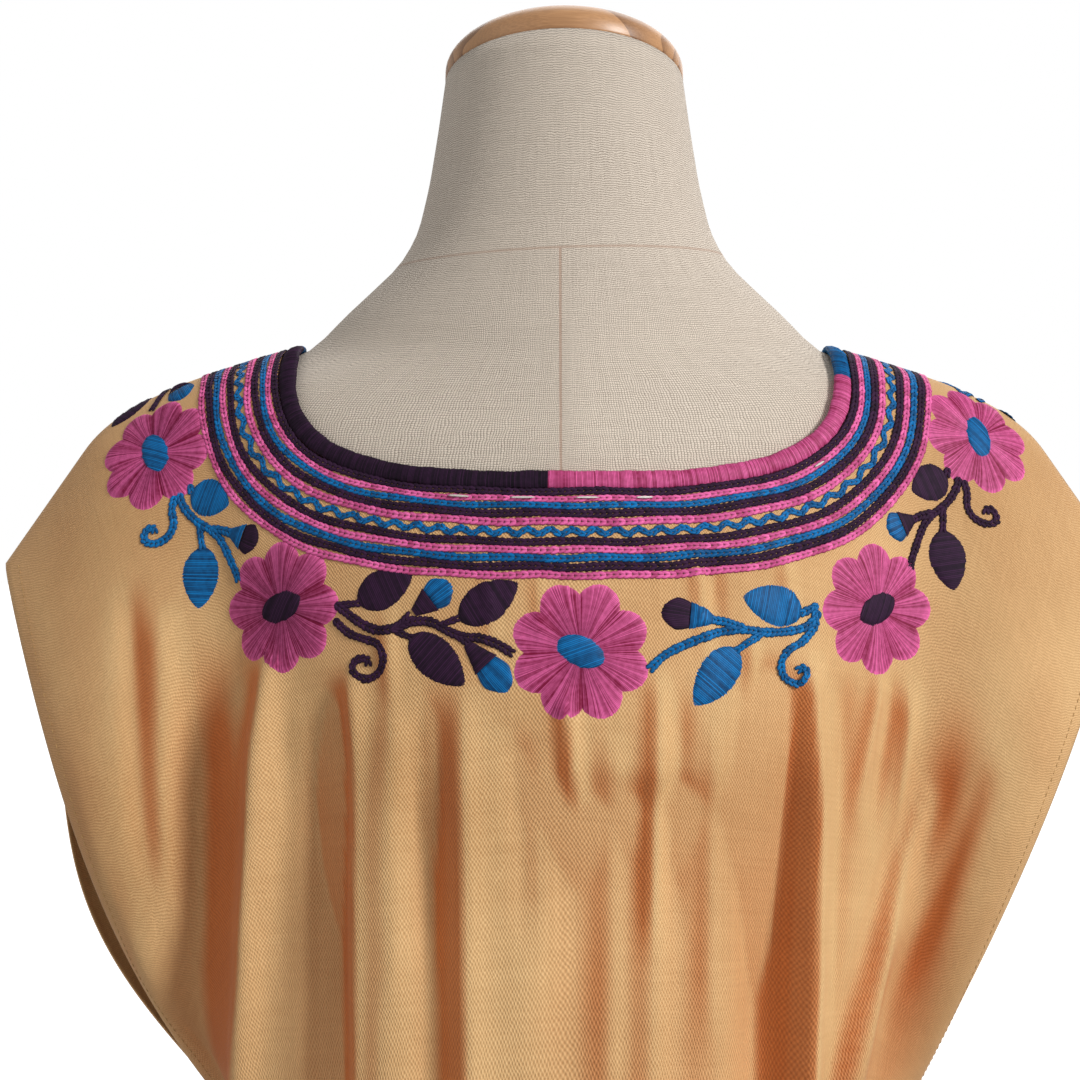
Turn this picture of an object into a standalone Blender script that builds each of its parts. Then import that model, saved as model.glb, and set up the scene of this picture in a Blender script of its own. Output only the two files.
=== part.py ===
"""Embroidered blouse on a limbless dress form.

The blouse is a back and a front, each cut in one with its half of the short kimono sleeves, joined along
the shoulders and down the sides, with a rolled and overcast neck edge. It hangs on a linen-covered form
with a turned neck cap, on a pole and a round base. Metres, +Z up, the front faces -Y.
"""

import math

import bmesh
import bpy
import numpy as np
from mathutils import Matrix, Vector

# Heights of the form and of the blouse on it
SHOULDER_Z = 0.8975  # the shoulder seam where it meets the neck edge
SHOULDER_SLOPE = 0.3165
WAIST_RING_Z = 0.535  # the side seams start here, below the arm openings
HEM_Z = 0.268
FORM_BOTTOM_Z = 0.300
NECK_TOP_Z = 1.026

# The blouse's cut and hang
CLOTH = 0.002
CLEAR = 0.0021  # from the form to the outer face of the cloth that rests on it
REST_SOFTNESS = 0.003
SEAM_GAP = 0.0003
NECK_HALF_WIDTH = 0.134
SHOULDER_TIP_X = 0.200
SHOULDER_BEND_RADIUS = 0.060
SLEEVE_SLOPE_DEG = 55.0
SHOULDER_LINE = 0.315  # along the shoulder seam, from the centre line to the sleeve's hem
SLEEVE_OPENING_DEPTH = 0.055
SIT_BELOW_FORM = 0.004

# The neck edge: a rolled strip, flat and rounded
ROLL_WIDTH = 0.0090
ROLL_THICKNESS = 0.0044
ROLL_DEPTH = 0.0013
ROLL_SIDES = 8

# The stand and the neck cap
BASE_RADIUS = 0.165
BASE_HEIGHT = 0.024
POLE_RADIUS = 0.0145
POLE_SIDES = 24
TURNED_SIDES = 40
CAP_HEIGHT = 0.027
CAP_RADIUS = 0.0575
TOUCH_GAP = 0.0003

# Rings of the linen form, from the hips up to the shoulders and the neck's foot
FORM_COLUMNS = ("height", "half_width", "back", "front", "roundness", "centre", "tilt")
FORM_ROWS = (
    (0.300, 0.148, 0.096, 0.090, 2.3, 0.0, 0),
    (0.345, 0.154, 0.102, 0.095, 2.3, 0.0, 0),
    (0.410, 0.138, 0.092, 0.091, 2.3, 0.0, 0),
    (0.480, 0.118, 0.076, 0.086, 2.2, 0.0, 0),
    (0.560, 0.124, 0.085, 0.101, 2.2, 0.0, 0),
    (0.640, 0.139, 0.102, 0.124, 2.2, 0.0, 0),
    (0.700, 0.149, 0.110, 0.119, 2.1, 0.0, 0),
    (0.755, 0.166, 0.1085, 0.104, 2.0, 0.0, 0),
    (0.800, 0.186, 0.101, 0.089, 1.8, 0.0, 0),
    (0.832, 0.197, 0.0905, 0.075, 1.6, 0.0, 0),
    (0.855, 0.200, 0.0835, 0.066, 1.5, 0.0, 0),
    (0.868, 0.195, 0.0785, 0.061, 1.45, 0.0, 0),
    (0.878, 0.178, 0.0755, 0.058, 1.45, 0.0, 0),
    (0.888, 0.148, 0.0725, 0.056, 1.5, 0.0, 0),
    (0.895, 0.128, 0.0705, 0.055, 1.55, 0.0, 0),
    (0.903, 0.1165, 0.0685, 0.055, 1.65, 0.0, 0),
    (0.913, 0.1065, 0.0660, 0.055, 1.75, 0.0, 0),
    (0.925, 0.0935, 0.0635, 0.055, 1.85, 0.0, 0),
    (0.938, 0.0800, 0.0615, 0.055, 1.95, 0.0, 0),
    (0.950, 0.0725, 0.0600, 0.056, 2.0, -0.001, 1),
    (0.970, 0.0665, 0.0585, 0.058, 2.0, -0.002, 4),
    (0.995, 0.0620, 0.0580, 0.058, 2.0, -0.004, 9),
    (1.026, 0.0575, 0.0575, 0.0575, 2.0, -0.006, 15),
)
FORM_RINGS = 34
FORM_SIDES = 40

# Each half of the blouse: how far its rings reach at the foot of the arm opening and at the hem
HALF_COLUMNS = ("name", "side", "neck_drop", "neck_roundness", "rise", "waist_depth", "hem_depth")
HALVES = (
    ("back", 1, 0.0685, 3.2, 2.5, 0.116, 0.128),
    ("front", -1, 0.1250, 2.5, 2.2, 0.130, 0.142),
)
WAIST_HALF_WIDTH = 0.162
HEM_HALF_WIDTH = 0.188
RING_ROUNDNESS = 2.25

# How far the sleeve's hem swings out between the shoulder seam and the side seam
SLEEVE_SWING = {("back", 1): 0.007, ("back", -1): -0.003, ("front", 1): 0.042, ("front", -1): 0.024}

# Folds, seen from behind or from the front: +X is the wearer's left
FOLD_COLUMNS = ("half", "x_top", "z_top", "x_waist", "x_hem", "z_end", "reach", "height")
FOLDS = (
    ("back", 0.134, 0.765, 0.148, 0.150, 0.20, 0.012, 0.008),
    ("back", 0.165, 0.760, 0.172, 0.176, 0.20, 0.014, -0.010),
    ("back", 0.108, 0.740, 0.110, 0.112, 0.20, 0.016, -0.010),
    ("back", 0.084, 0.735, 0.082, 0.078, 0.20, 0.012, 0.004),
    ("back", 0.061, 0.750, 0.058, 0.052, 0.36, 0.009, -0.004),
    ("back", 0.045, 0.745, 0.040, 0.026, 0.20, 0.009, 0.003),
    ("back", 0.000, 0.730, -0.004, -0.010, 0.20, 0.014, -0.004),
    ("back", -0.040, 0.740, -0.036, -0.040, 0.20, 0.009, 0.004),
    ("back", -0.089, 0.755, -0.088, -0.082, 0.20, 0.015, -0.010),
    ("back", -0.111, 0.740, -0.101, -0.108, 0.20, 0.010, 0.008),
    ("back", -0.165, 0.680, -0.116, -0.140, 0.20, 0.010, 0.007),
    ("back", -0.172, 0.735, -0.141, -0.162, 0.20, 0.013, -0.009),
    ("front", 0.150, 0.740, 0.150, 0.156, 0.20, 0.013, -0.009),
    ("front", 0.122, 0.700, 0.124, 0.128, 0.20, 0.012, 0.008),
    ("front", 0.090, 0.665, 0.094, 0.100, 0.20, 0.014, -0.010),
    ("front", 0.060, 0.660, 0.062, 0.066, 0.20, 0.012, 0.006),
    ("front", 0.028, 0.650, 0.030, 0.034, 0.20, 0.014, -0.007),
    ("front", -0.006, 0.645, -0.008, -0.010, 0.20, 0.012, 0.005),
    ("front", -0.040, 0.655, -0.044, -0.050, 0.20, 0.014, -0.008),
    ("front", -0.074, 0.670, -0.078, -0.084, 0.20, 0.012, 0.007),
    ("front", -0.108, 0.690, -0.112, -0.118, 0.20, 0.014, -0.010),
    ("front", -0.142, 0.735, -0.146, -0.152, 0.20, 0.013, 0.007),
)
FOLD_START = 0.060
PROBE = 0.004  # the step that finds a surface's slope
NECK_TRIES = 8  # how often the neck edge's places are corrected
NECK_HALVINGS = 20
NECK_SAMPLES = 60
TROUGH_SHARE = 0.7  # of the room between the cloth and the form
FOLD_GROWTH = 0.6

# The mesh of a half: columns across it, rows down to the side seam and on to the hem
NECK_COLUMNS = 20
ARM_COLUMNS = 11
FAN_POWER = 1.6  # how soon the columns spread out below the neck edge
YOKE_ROWS = 10
SKIRT_ROWS = 8


def named_rows(columns, rows):
    """Each row of a table as a dictionary with the table's column names."""
    return [dict(zip(columns, row)) for row in rows]


def smooth_table(rows, key, values, column):
    """A column of a table read along another, on a smooth curve through the rows."""
    at = np.array([row[key] for row in rows])
    out = np.array([row[column] for row in rows])
    slope = np.gradient(out, at)
    values = np.clip(values, at[0], at[-1])
    i = np.clip(np.searchsorted(at, values) - 1, 0, len(at) - 2)
    step = at[i + 1] - at[i]
    t = (values - at[i]) / step
    rising = (2 * t**3 - 3 * t**2 + 1) * out[i] + (t**3 - 2 * t**2 + t) * step * slope[i]
    return rising + (3 * t**2 - 2 * t**3) * out[i + 1] + (t**3 - t**2) * step * slope[i + 1]


def smooth_step(low, high, value):
    """0 below low, 1 above high and a smooth curve between."""
    t = np.clip((value - low) / (high - low), 0, 1)
    return t * t * (3 - 2 * t)


def form_level(p):
    """How far each point lies outside the form, as a share of the ring at its height."""
    rows = named_rows(FORM_COLUMNS, FORM_ROWS)
    wide, back, front, power = (
        smooth_table(rows, "height", p[..., 2], name) for name in ("half_width", "back", "front", "roundness")
    )
    deep = np.where(p[..., 1] > 0, back, front)
    return (np.abs(p[..., 0] / wide) ** power + np.abs(p[..., 1] / deep) ** power) ** (1 / power) - 1


def form_distance(p):
    """The distance of each point from the form's surface, and the direction away from it."""
    step = 0.0004
    level = form_level(p)
    slope = np.stack([(form_level(p + step * axis) - form_level(p - step * axis)) / (2 * step)
                      for axis in np.eye(3)], -1)
    steepness = np.linalg.norm(slope, axis=-1)
    return level / steepness, slope / steepness[..., None]


def rest_on_form(p):
    """Moves points out of the form, so that cloth which would sink into it lies on it."""
    for _ in range(5):
        gap, away = form_distance(p)
        over = np.clip((gap - CLEAR) / REST_SOFTNESS, -30, 30)
        wanted = CLEAR + REST_SOFTNESS * np.log1p(np.exp(over))
        move = np.where(over > 8, 0.0, wanted - gap)
        p = p + move[..., None] * away * 0.5
    return p


def shoulder_seam(along):
    """The shoulder seam's x and z at a distance from the centre line: a slope, a bend and the sleeve."""
    slope = math.atan(SHOULDER_SLOPE)
    fall = math.radians(SLEEVE_SLOPE_DEG)
    straight = SHOULDER_TIP_X / math.cos(slope)
    bend = SHOULDER_BEND_RADIUS * (fall - slope)
    angle = slope + np.clip((along - straight) / bend, 0, 1) * (fall - slope)
    on_slope = np.minimum(along, straight)
    beyond = np.maximum(along - straight - bend, 0)
    x = on_slope * math.cos(slope) + SHOULDER_BEND_RADIUS * (np.sin(angle) - math.sin(slope))
    x = x + beyond * math.cos(fall)
    drop = on_slope * math.sin(slope) + SHOULDER_BEND_RADIUS * (math.cos(slope) - np.cos(angle))
    drop = drop + beyond * math.sin(fall)
    top = SHOULDER_Z + SHOULDER_SLOPE * NECK_HALF_WIDTH - SIT_BELOW_FORM
    return x, top - drop


def blouse_base(half, across, down):
    """Points of a half before its folds: across runs -1 to 1, down 0 at the shoulder, 1 and 2 at the hem."""
    side = np.where(across < 0, -1, 1)
    t = np.abs(across)
    turn = np.clip(down, 0, 1) * math.pi / 2
    skirt = np.clip(down - 1, 0, 1)
    seam_x, seam_z = shoulder_seam(t * SHOULDER_LINE)
    wide = WAIST_HALF_WIDTH + (HEM_HALF_WIDTH - WAIST_HALF_WIDTH) * smooth_step(0, 1, skirt)
    deep = half["waist_depth"] + (half["hem_depth"] - half["waist_depth"]) * skirt
    round_ring = 2 / RING_ROUNDNESS
    ring_x = wide * np.sin(t * math.pi / 2) ** round_ring
    ring_y = deep * np.clip(np.cos(t * math.pi / 2), 0, 1) ** round_ring
    sleeve = smooth_step(0.55, 1.0, t)
    swing = np.where(side > 0, SLEEVE_SWING[half["name"], 1], SLEEVE_SWING[half["name"], -1])
    fall = np.clip(down, 0, 1)
    rise = 2 / half["rise"]
    drop = (1 - sleeve) * (1 - np.clip(np.cos(turn), 0, 1) ** rise) + sleeve * fall
    bulge = np.clip(np.sin(math.pi * fall), 0, 1) ** 0.75
    low_bulge = np.sin(math.pi * fall**1.6)
    x = seam_x + (ring_x - seam_x) * fall + sleeve * swing * low_bulge
    y = ring_y * np.sin(turn) ** rise + sleeve * SLEEVE_OPENING_DEPTH * bulge
    z = seam_z + (WAIST_RING_Z - seam_z) * drop - (WAIST_RING_Z - HEM_Z) * skirt
    return rest_on_form(np.stack([side * x, half["side"] * y, z], -1))


def fold_height(half, p):
    """How far the folds lift each point off the plain half."""
    x, z = p[..., 0], p[..., 2]
    total = np.zeros_like(x)
    for fold in named_rows(FOLD_COLUMNS, FOLDS):
        if fold["half"] == half["name"]:
            heights = (HEM_Z, WAIST_RING_Z, fold["z_top"])
            middle = np.interp(z, heights, (fold["x_hem"], fold["x_waist"], fold["x_top"]))
            skirt = smooth_step(0, 1, (WAIST_RING_Z - z) / (WAIST_RING_Z - HEM_Z))
            reach = fold["reach"] * (1 + FOLD_GROWTH * 0.5 * skirt)
            rise = fold["height"] * (1 + FOLD_GROWTH * skirt)
            start = smooth_step(fold["z_top"] + 0.01, fold["z_top"] - FOLD_START, z)
            end = smooth_step(fold["z_end"] - 0.05, fold["z_end"] + 0.05, z)
            total = total + rise * start * end * np.exp(-((x - middle) / reach) ** 2)
    return total


def surface_normals(half, surface, across, down):
    """Unit normals of a surface over the half, facing out of the blouse."""
    left, right = np.maximum(across - PROBE, -1), np.minimum(across + PROBE, 1)
    high, low = np.maximum(down - PROBE, 0), np.clip(down + PROBE, 2 * PROBE, 2)
    sideways = surface(half, right, down) - surface(half, left, down)
    downwards = surface(half, across, low) - surface(half, across, high)
    normal = np.cross(sideways, downwards) * half["side"]
    return normal / np.linalg.norm(normal, axis=-1)[..., None]


def blouse_surface(half, across, down):
    """Points of a half with its folds, which keep clear of the form."""
    plain = blouse_base(half, across, down)
    room = np.clip(form_distance(plain)[0] - CLEAR, 0, None) * TROUGH_SHARE
    at_side = smooth_step(1.0, 0.93, np.abs(across))
    at_top = smooth_step(0.0, 0.15, down)
    lift = np.maximum(fold_height(half, plain) * at_side * at_top, -room)
    return plain + lift[..., None] * surface_normals(half, blouse_base, across, down)


def seam_top(half):
    """Where the neck edge meets the shoulder seam, as a share of the half's width."""
    across = np.array(NECK_HALF_WIDTH / SHOULDER_LINE)
    for _ in range(NECK_TRIES):
        across = across * NECK_HALF_WIDTH / blouse_base(half, across, 0 * across)[0]
    return across


def neck_edge(half, count):
    """The neck edge from the centre line to the shoulder seam, as even places across and down the half."""
    top = blouse_base(half, seam_top(half), np.array(0.0))
    power = 2 / half["neck_roundness"]
    angle = math.pi / 2 * (1 - np.linspace(1, 0, NECK_SAMPLES) ** 3)
    x = NECK_HALF_WIDTH * np.sin(angle) ** power
    z = top[2] - (top[2] - SHOULDER_Z + half["neck_drop"]) * np.clip(np.cos(angle), 0, 1) ** power
    across = x / SHOULDER_LINE
    for _ in range(NECK_TRIES):
        low, high = np.zeros(NECK_SAMPLES), np.ones(NECK_SAMPLES)
        for _ in range(NECK_HALVINGS):
            down = (low + high) / 2
            above = blouse_base(half, across, down)[..., 2] > z
            low = np.where(above, down, low)
            high = np.where(above, high, down)
        found = blouse_base(half, across, down)[..., 0]
        across = across * np.where(x > 0, x / np.where(x > 0, found, 1), 1)
    across[-1], down[-1] = seam_top(half), 0
    edge = blouse_base(half, across, down)
    steps = np.linalg.norm(np.diff(edge, axis=0), axis=-1)
    length = np.concatenate([[0], np.cumsum(steps)])
    even = np.linspace(0, length[-1], count)
    return np.interp(even, length, across), np.interp(even, length, down)


def half_places(half):
    """Where the mesh of a half has its points: grids of places across and down it."""
    neck_across, neck_down = neck_edge(half, NECK_COLUMNS)
    seam = np.linspace(neck_across[-1], 1, ARM_COLUMNS + 1)[1:]
    top = np.concatenate([neck_across, seam])[:, None]
    start = np.concatenate([neck_down, 0 * seam])[:, None]
    even = np.linspace(0, 1, len(top))[:, None]
    yoke = np.linspace(0, 1, YOKE_ROWS + 1)[None, :]
    skirt = np.linspace(0, 1, SKIRT_ROWS + 1)[None, 1:]
    fan = 1 - (1 - yoke) ** FAN_POWER
    across = np.concatenate([top + (even - top) * fan, even + 0 * skirt], 1)
    down = np.concatenate([start + (1 - start) * yoke, 1 + skirt + 0 * even], 1)
    return np.concatenate([-across[:0:-1], across]), np.concatenate([down[:0:-1], down])


def blouse_half(half):
    """The outer and inner points of a half, as grids of columns and rows."""
    across, down = half_places(half)
    outer = blouse_surface(half, across, down)
    normal = surface_normals(half, blouse_surface, across, down)
    on_seam = (down < 1e-6) | ((np.abs(across) > 1 - 1e-6) & (down > 1 - 1e-6))
    normal[..., 1] = np.where(on_seam, 0, normal[..., 1])
    normal /= np.linalg.norm(normal, axis=-1)[..., None]
    outer[..., 1] = np.where(on_seam, half["side"] * SEAM_GAP / 2, outer[..., 1])
    return outer, outer - CLOTH * normal, normal


def new_material(name, colour, roughness, metallic=0.0):
    material = bpy.data.materials.new(name)
    material.use_nodes = True
    shader = material.node_tree.nodes["Principled BSDF"]
    shader.inputs["Base Color"].default_value = (*colour, 1)
    shader.inputs["Roughness"].default_value = roughness
    shader.inputs["Metallic"].default_value = metallic
    return material


def new_object(name, mesh_data, material, smooth=True):
    """Makes a mesh object of a finished bmesh, in the part's collection."""
    bmesh.ops.recalc_face_normals(mesh_data, faces=mesh_data.faces)
    if mesh_data.calc_volume(signed=True) < 0:
        bmesh.ops.reverse_faces(mesh_data, faces=mesh_data.faces)
    mesh = bpy.data.meshes.new(name)
    mesh_data.to_mesh(mesh)
    mesh_data.free()
    mesh.materials.append(material)
    if smooth:
        mesh.shade_smooth()
    obj = bpy.data.objects.new(name, mesh)
    bpy.data.collections["embroidered_blouse"].objects.link(obj)
    return obj


def add_grid(bm, points):
    """Adds a grid of points and the faces between them, and returns its vertices."""
    vertices = [[bm.verts.new(point) for point in column] for column in points]
    for left, right in zip(vertices, vertices[1:]):
        for row in range(len(left) - 1):
            bm.faces.new((left[row], left[row + 1], right[row + 1], right[row]))
    return vertices


def rim(vertices):
    """The vertices round a grid, in order."""
    top = [column[0] for column in vertices]
    bottom = [column[-1] for column in vertices]
    return top + vertices[-1][1:-1] + bottom[::-1] + vertices[0][-2:0:-1]


def add_wall(name, outer, inner, material):
    """A closed wall of cloth between two grids of points."""
    bm = bmesh.new()
    outer_rim = rim(add_grid(bm, outer))
    inner_rim = rim(add_grid(bm, inner))
    for i in range(len(outer_rim)):
        j = (i + 1) % len(outer_rim)
        bm.faces.new((outer_rim[i], outer_rim[j], inner_rim[j], inner_rim[i]))
    bmesh.ops.triangulate(bm, faces=bm.faces)
    return new_object(name, bm, material)


def add_tube(name, rings, material, closed):
    """A closed body through rings of points: a loop, or a loft with flat ends."""
    bm = bmesh.new()
    loops = [[bm.verts.new(point) for point in ring] for ring in rings]
    pairs = list(zip(loops, loops[1:] + loops[:1])) if closed else list(zip(loops, loops[1:]))
    for low, high in pairs:
        for i in range(len(low)):
            j = (i + 1) % len(low)
            bm.faces.new((low[i], low[j], high[j], high[i]))
    if not closed:
        bm.faces.new(loops[0][::-1])
        bm.faces.new(loops[-1])
    return new_object(name, bm, material)


def add_turned(name, profile, material):
    """A turned piece: a profile from the top centre down its outer side, spun round Z."""
    bm = bmesh.new()
    vertices = [bm.verts.new((x, 0, z)) for x, z in profile]
    edges = [bm.edges.new(pair) for pair in zip(vertices, vertices[1:])]
    bmesh.ops.spin(bm, geom=vertices + edges, cent=(0, 0, 0), axis=(0, 0, 1),
                   angle=math.tau, steps=TURNED_SIDES, use_merge=True)
    bmesh.ops.remove_doubles(bm, verts=bm.verts, dist=1e-5)
    return new_object(name, bm, material)


def rounded_profile(radius, bottom, top, edge, steps=4):
    """Half the outline of a disc with rounded edges, from its top centre to its bottom centre."""
    points = [(0, top)]
    for i in range(steps + 1):
        angle = math.pi / 2 * (1 - i / steps)
        points.append((radius - edge + edge * math.cos(angle), top - edge + edge * math.sin(angle)))
    points.append((radius, bottom))
    points.append((0, bottom))
    return points


def make_blouse(cloth, thread):
    """The two halves and the rolled neck edge."""
    edge_points, edge_inward, edge_normals = [], [], []
    for half in named_rows(HALF_COLUMNS, HALVES):
        outer, inner, normal = blouse_half(half)
        add_wall("blouse_" + half["name"], outer, inner, cloth)
        middle = len(outer) // 2
        reach = NECK_COLUMNS - 1
        order = slice(middle - reach, middle + reach + 1)
        points = outer[order, 0]
        inward = np.array((0, 0, SHOULDER_Z)) - points
        if half["side"] < 0:
            points, inward = points[::-1][1:-1], inward[::-1][1:-1]
            normals = normal[order, 0][::-1][1:-1]
        else:
            normals = normal[order, 0]
        edge_points.append(points)
        edge_inward.append(inward)
        edge_normals.append(normals)
    make_neck_roll(np.concatenate(edge_points), np.concatenate(edge_inward),
                   np.concatenate(edge_normals), thread)


def make_neck_roll(edge, inward, normal, thread):
    """The overcast roll: an oval strip that follows the neck edge, just inside it."""
    edge[np.abs(edge[:, 1]) < 0.001, 1] = 0
    along = np.roll(edge, -1, 0) - np.roll(edge, 1, 0)
    along /= np.linalg.norm(along, axis=-1)[:, None]
    normal = normal - (normal * along).sum(-1)[:, None] * along
    normal /= np.linalg.norm(normal, axis=-1)[:, None]
    inside = np.cross(normal, along)
    inside *= np.sign((inside * inward).sum(-1))[:, None]
    centre = edge + inside * (ROLL_WIDTH / 2 + SEAM_GAP) - normal * ROLL_DEPTH
    rings = []
    for c, i, n in zip(centre, inside, normal):
        angles = (math.tau * k / ROLL_SIDES for k in range(ROLL_SIDES))
        rings.append([c + i * ROLL_WIDTH / 2 * math.cos(a) + n * ROLL_THICKNESS / 2 * math.sin(a)
                      for a in angles])
    add_tube("neck_roll", rings, thread, closed=True)


def make_form(linen, wood):
    """The linen-covered body and the turned cap on its neck."""
    rows = named_rows(FORM_COLUMNS, FORM_ROWS)
    positions = np.linspace(0, len(rows) - 1, FORM_RINGS)
    heights = np.interp(positions, range(len(rows)), [row["height"] for row in rows])
    rings = []
    for z in heights:
        wide, back, front, power, centre, tilt = (
            float(smooth_table(rows, "height", np.array(z), name)) for name in FORM_COLUMNS[1:]
        )
        ring = []
        for k in range(FORM_SIDES):
            angle = math.tau * k / FORM_SIDES
            c, s = math.cos(angle), math.sin(angle)
            y = (back if s > 0 else front) * math.copysign(abs(s) ** (2 / power), s)
            x = wide * math.copysign(abs(c) ** (2 / power), c)
            ring.append((x, centre + y, z + y * math.tan(math.radians(tilt))))
        rings.append(ring)
    add_tube("form_body", rings, linen, closed=False)
    steps = 6
    profile = [(0, CAP_HEIGHT)]
    for i in range(1, steps + 1):
        angle = math.pi / 2 * (1 - i / steps)
        profile.append((CAP_RADIUS * math.cos(angle), 0.006 + (CAP_HEIGHT - 0.006) * math.sin(angle)))
    profile += [(CAP_RADIUS, 0), (0, 0)]
    cap = add_turned("form_neck_cap", profile, wood)
    top = rows[-1]
    lean = Matrix.Rotation(math.radians(top["tilt"]), 4, "X")
    lift = Matrix.Translation(Vector((0, top["centre"], NECK_TOP_Z + TOUCH_GAP)))
    cap.data.transform(lift @ lean)


def make_stand(wood, metal):
    """A round base and a pole up to the form."""
    add_turned("stand_base", rounded_profile(BASE_RADIUS, 0, BASE_HEIGHT, 0.008), wood)
    bm = bmesh.new()
    length = FORM_BOTTOM_Z - BASE_HEIGHT - 2 * TOUCH_GAP
    bmesh.ops.create_cone(bm, cap_ends=True, segments=POLE_SIDES, radius1=POLE_RADIUS, radius2=POLE_RADIUS,
                          depth=length, matrix=Matrix.Translation((0, 0, BASE_HEIGHT + TOUCH_GAP + length / 2)))
    new_object("stand_pole", bm, metal)


def main():
    for obj in list(bpy.data.objects):
        bpy.data.objects.remove(obj)
    bpy.context.scene.collection.children.link(bpy.data.collections.new("embroidered_blouse"))
    cloth = new_material("mustard_cotton", (0.56, 0.33, 0.13), 0.85)
    thread = new_material("embroidery_thread", (0.10, 0.03, 0.10), 0.55)
    linen = new_material("form_linen", (0.60, 0.53, 0.43), 0.9)
    wood = new_material("honey_wood", (0.50, 0.30, 0.14), 0.45)
    metal = new_material("stand_steel", (0.55, 0.54, 0.52), 0.35, 1.0)
    make_blouse(cloth, thread)
    make_form(linen, wood)
    make_stand(wood, metal)


main()
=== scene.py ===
# %% [markdown]
# # An embroidered blouse on a dress form
# The photograph shows the back of a loose mustard cotton blouse. Its wide neck edge is rolled and overcast
# with thread. Rows of chain stitch follow that edge, and a ring of flowers, stems and leaves lies outside
# them. A limbless dress form covered in linen wears it. The solids of all of this are loaded first, as a
# fixed frame. The cells then lay a finer cloth on them, sew on the embroidery, and give each piece its
# material.

import math

import bmesh
import bpy
import numpy as np
from mathutils import Matrix, Vector
from mathutils.bvhtree import BVHTree


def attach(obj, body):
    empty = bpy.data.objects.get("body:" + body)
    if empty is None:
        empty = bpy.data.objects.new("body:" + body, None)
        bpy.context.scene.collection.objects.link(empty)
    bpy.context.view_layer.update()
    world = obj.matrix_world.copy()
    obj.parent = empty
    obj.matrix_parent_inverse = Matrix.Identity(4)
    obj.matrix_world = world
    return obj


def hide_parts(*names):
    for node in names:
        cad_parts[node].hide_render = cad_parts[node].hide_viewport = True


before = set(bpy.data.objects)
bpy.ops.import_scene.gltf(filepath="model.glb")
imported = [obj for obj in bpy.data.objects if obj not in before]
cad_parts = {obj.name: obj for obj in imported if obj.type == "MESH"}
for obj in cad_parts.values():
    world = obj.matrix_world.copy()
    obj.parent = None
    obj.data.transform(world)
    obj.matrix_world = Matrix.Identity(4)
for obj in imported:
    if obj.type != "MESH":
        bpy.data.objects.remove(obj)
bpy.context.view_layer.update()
print("the frame holds", sorted(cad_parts))

# %% [markdown]
# ## Camera
# The picture was taken from behind, a little over a metre away and level with the shoulder blades. The
# form's neck, shoulders and neck edge all land on their places in the picture with this camera.

# %% The camera
EYE = (0.0117, 1.05, 0.807)  # metres; the back of the blouse faces +Y
LENS = 72.7  # millimetres on a 36 mm sensor

camera_data = bpy.data.cameras.new("studio_camera")
camera_data.lens = LENS
camera_data.sensor_width = 36
camera_data.clip_start = 0.05
camera = bpy.data.objects.new("studio_camera", camera_data)
camera.location = EYE
camera.rotation_euler = (math.radians(90), 0, math.radians(180))
bpy.context.scene.collection.objects.link(camera)
bpy.context.scene.camera = camera

# %% [markdown]
# ## Sizes
# The blouse is two flat panels, a back and a front, each cut in one with half of the short sleeves. These
# are the same named sizes and tables as the solids use, so the fine cloth lies on the same form.

# %% Sizes of the blouse and the form
SHOULDER_Z = 0.8975
SHOULDER_SLOPE = 0.3165
WAIST_RING_Z = 0.535
HEM_Z = 0.268
CLEAR = 0.0021
REST_SOFTNESS = 0.003
NECK_HALF_WIDTH = 0.134
SHOULDER_TIP_X = 0.200
SHOULDER_BEND_RADIUS = 0.060
SLEEVE_SLOPE_DEG = 55.0
SHOULDER_LINE = 0.315
SLEEVE_OPENING_DEPTH = 0.055
SIT_BELOW_FORM = 0.004
SEAM_GAP = 0.0003

HALF_COLUMNS = ("name", "side", "neck_drop", "neck_roundness", "rise", "waist_depth", "hem_depth")
HALVES = (
    ("back", 1, 0.0685, 3.2, 2.5, 0.116, 0.128),
    ("front", -1, 0.1250, 2.5, 2.2, 0.130, 0.142),
)
WAIST_HALF_WIDTH = 0.162
HEM_HALF_WIDTH = 0.188
RING_ROUNDNESS = 2.25
SLEEVE_SWING = {("back", 1): 0.007, ("back", -1): -0.003, ("front", 1): 0.042, ("front", -1): 0.024}

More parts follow.
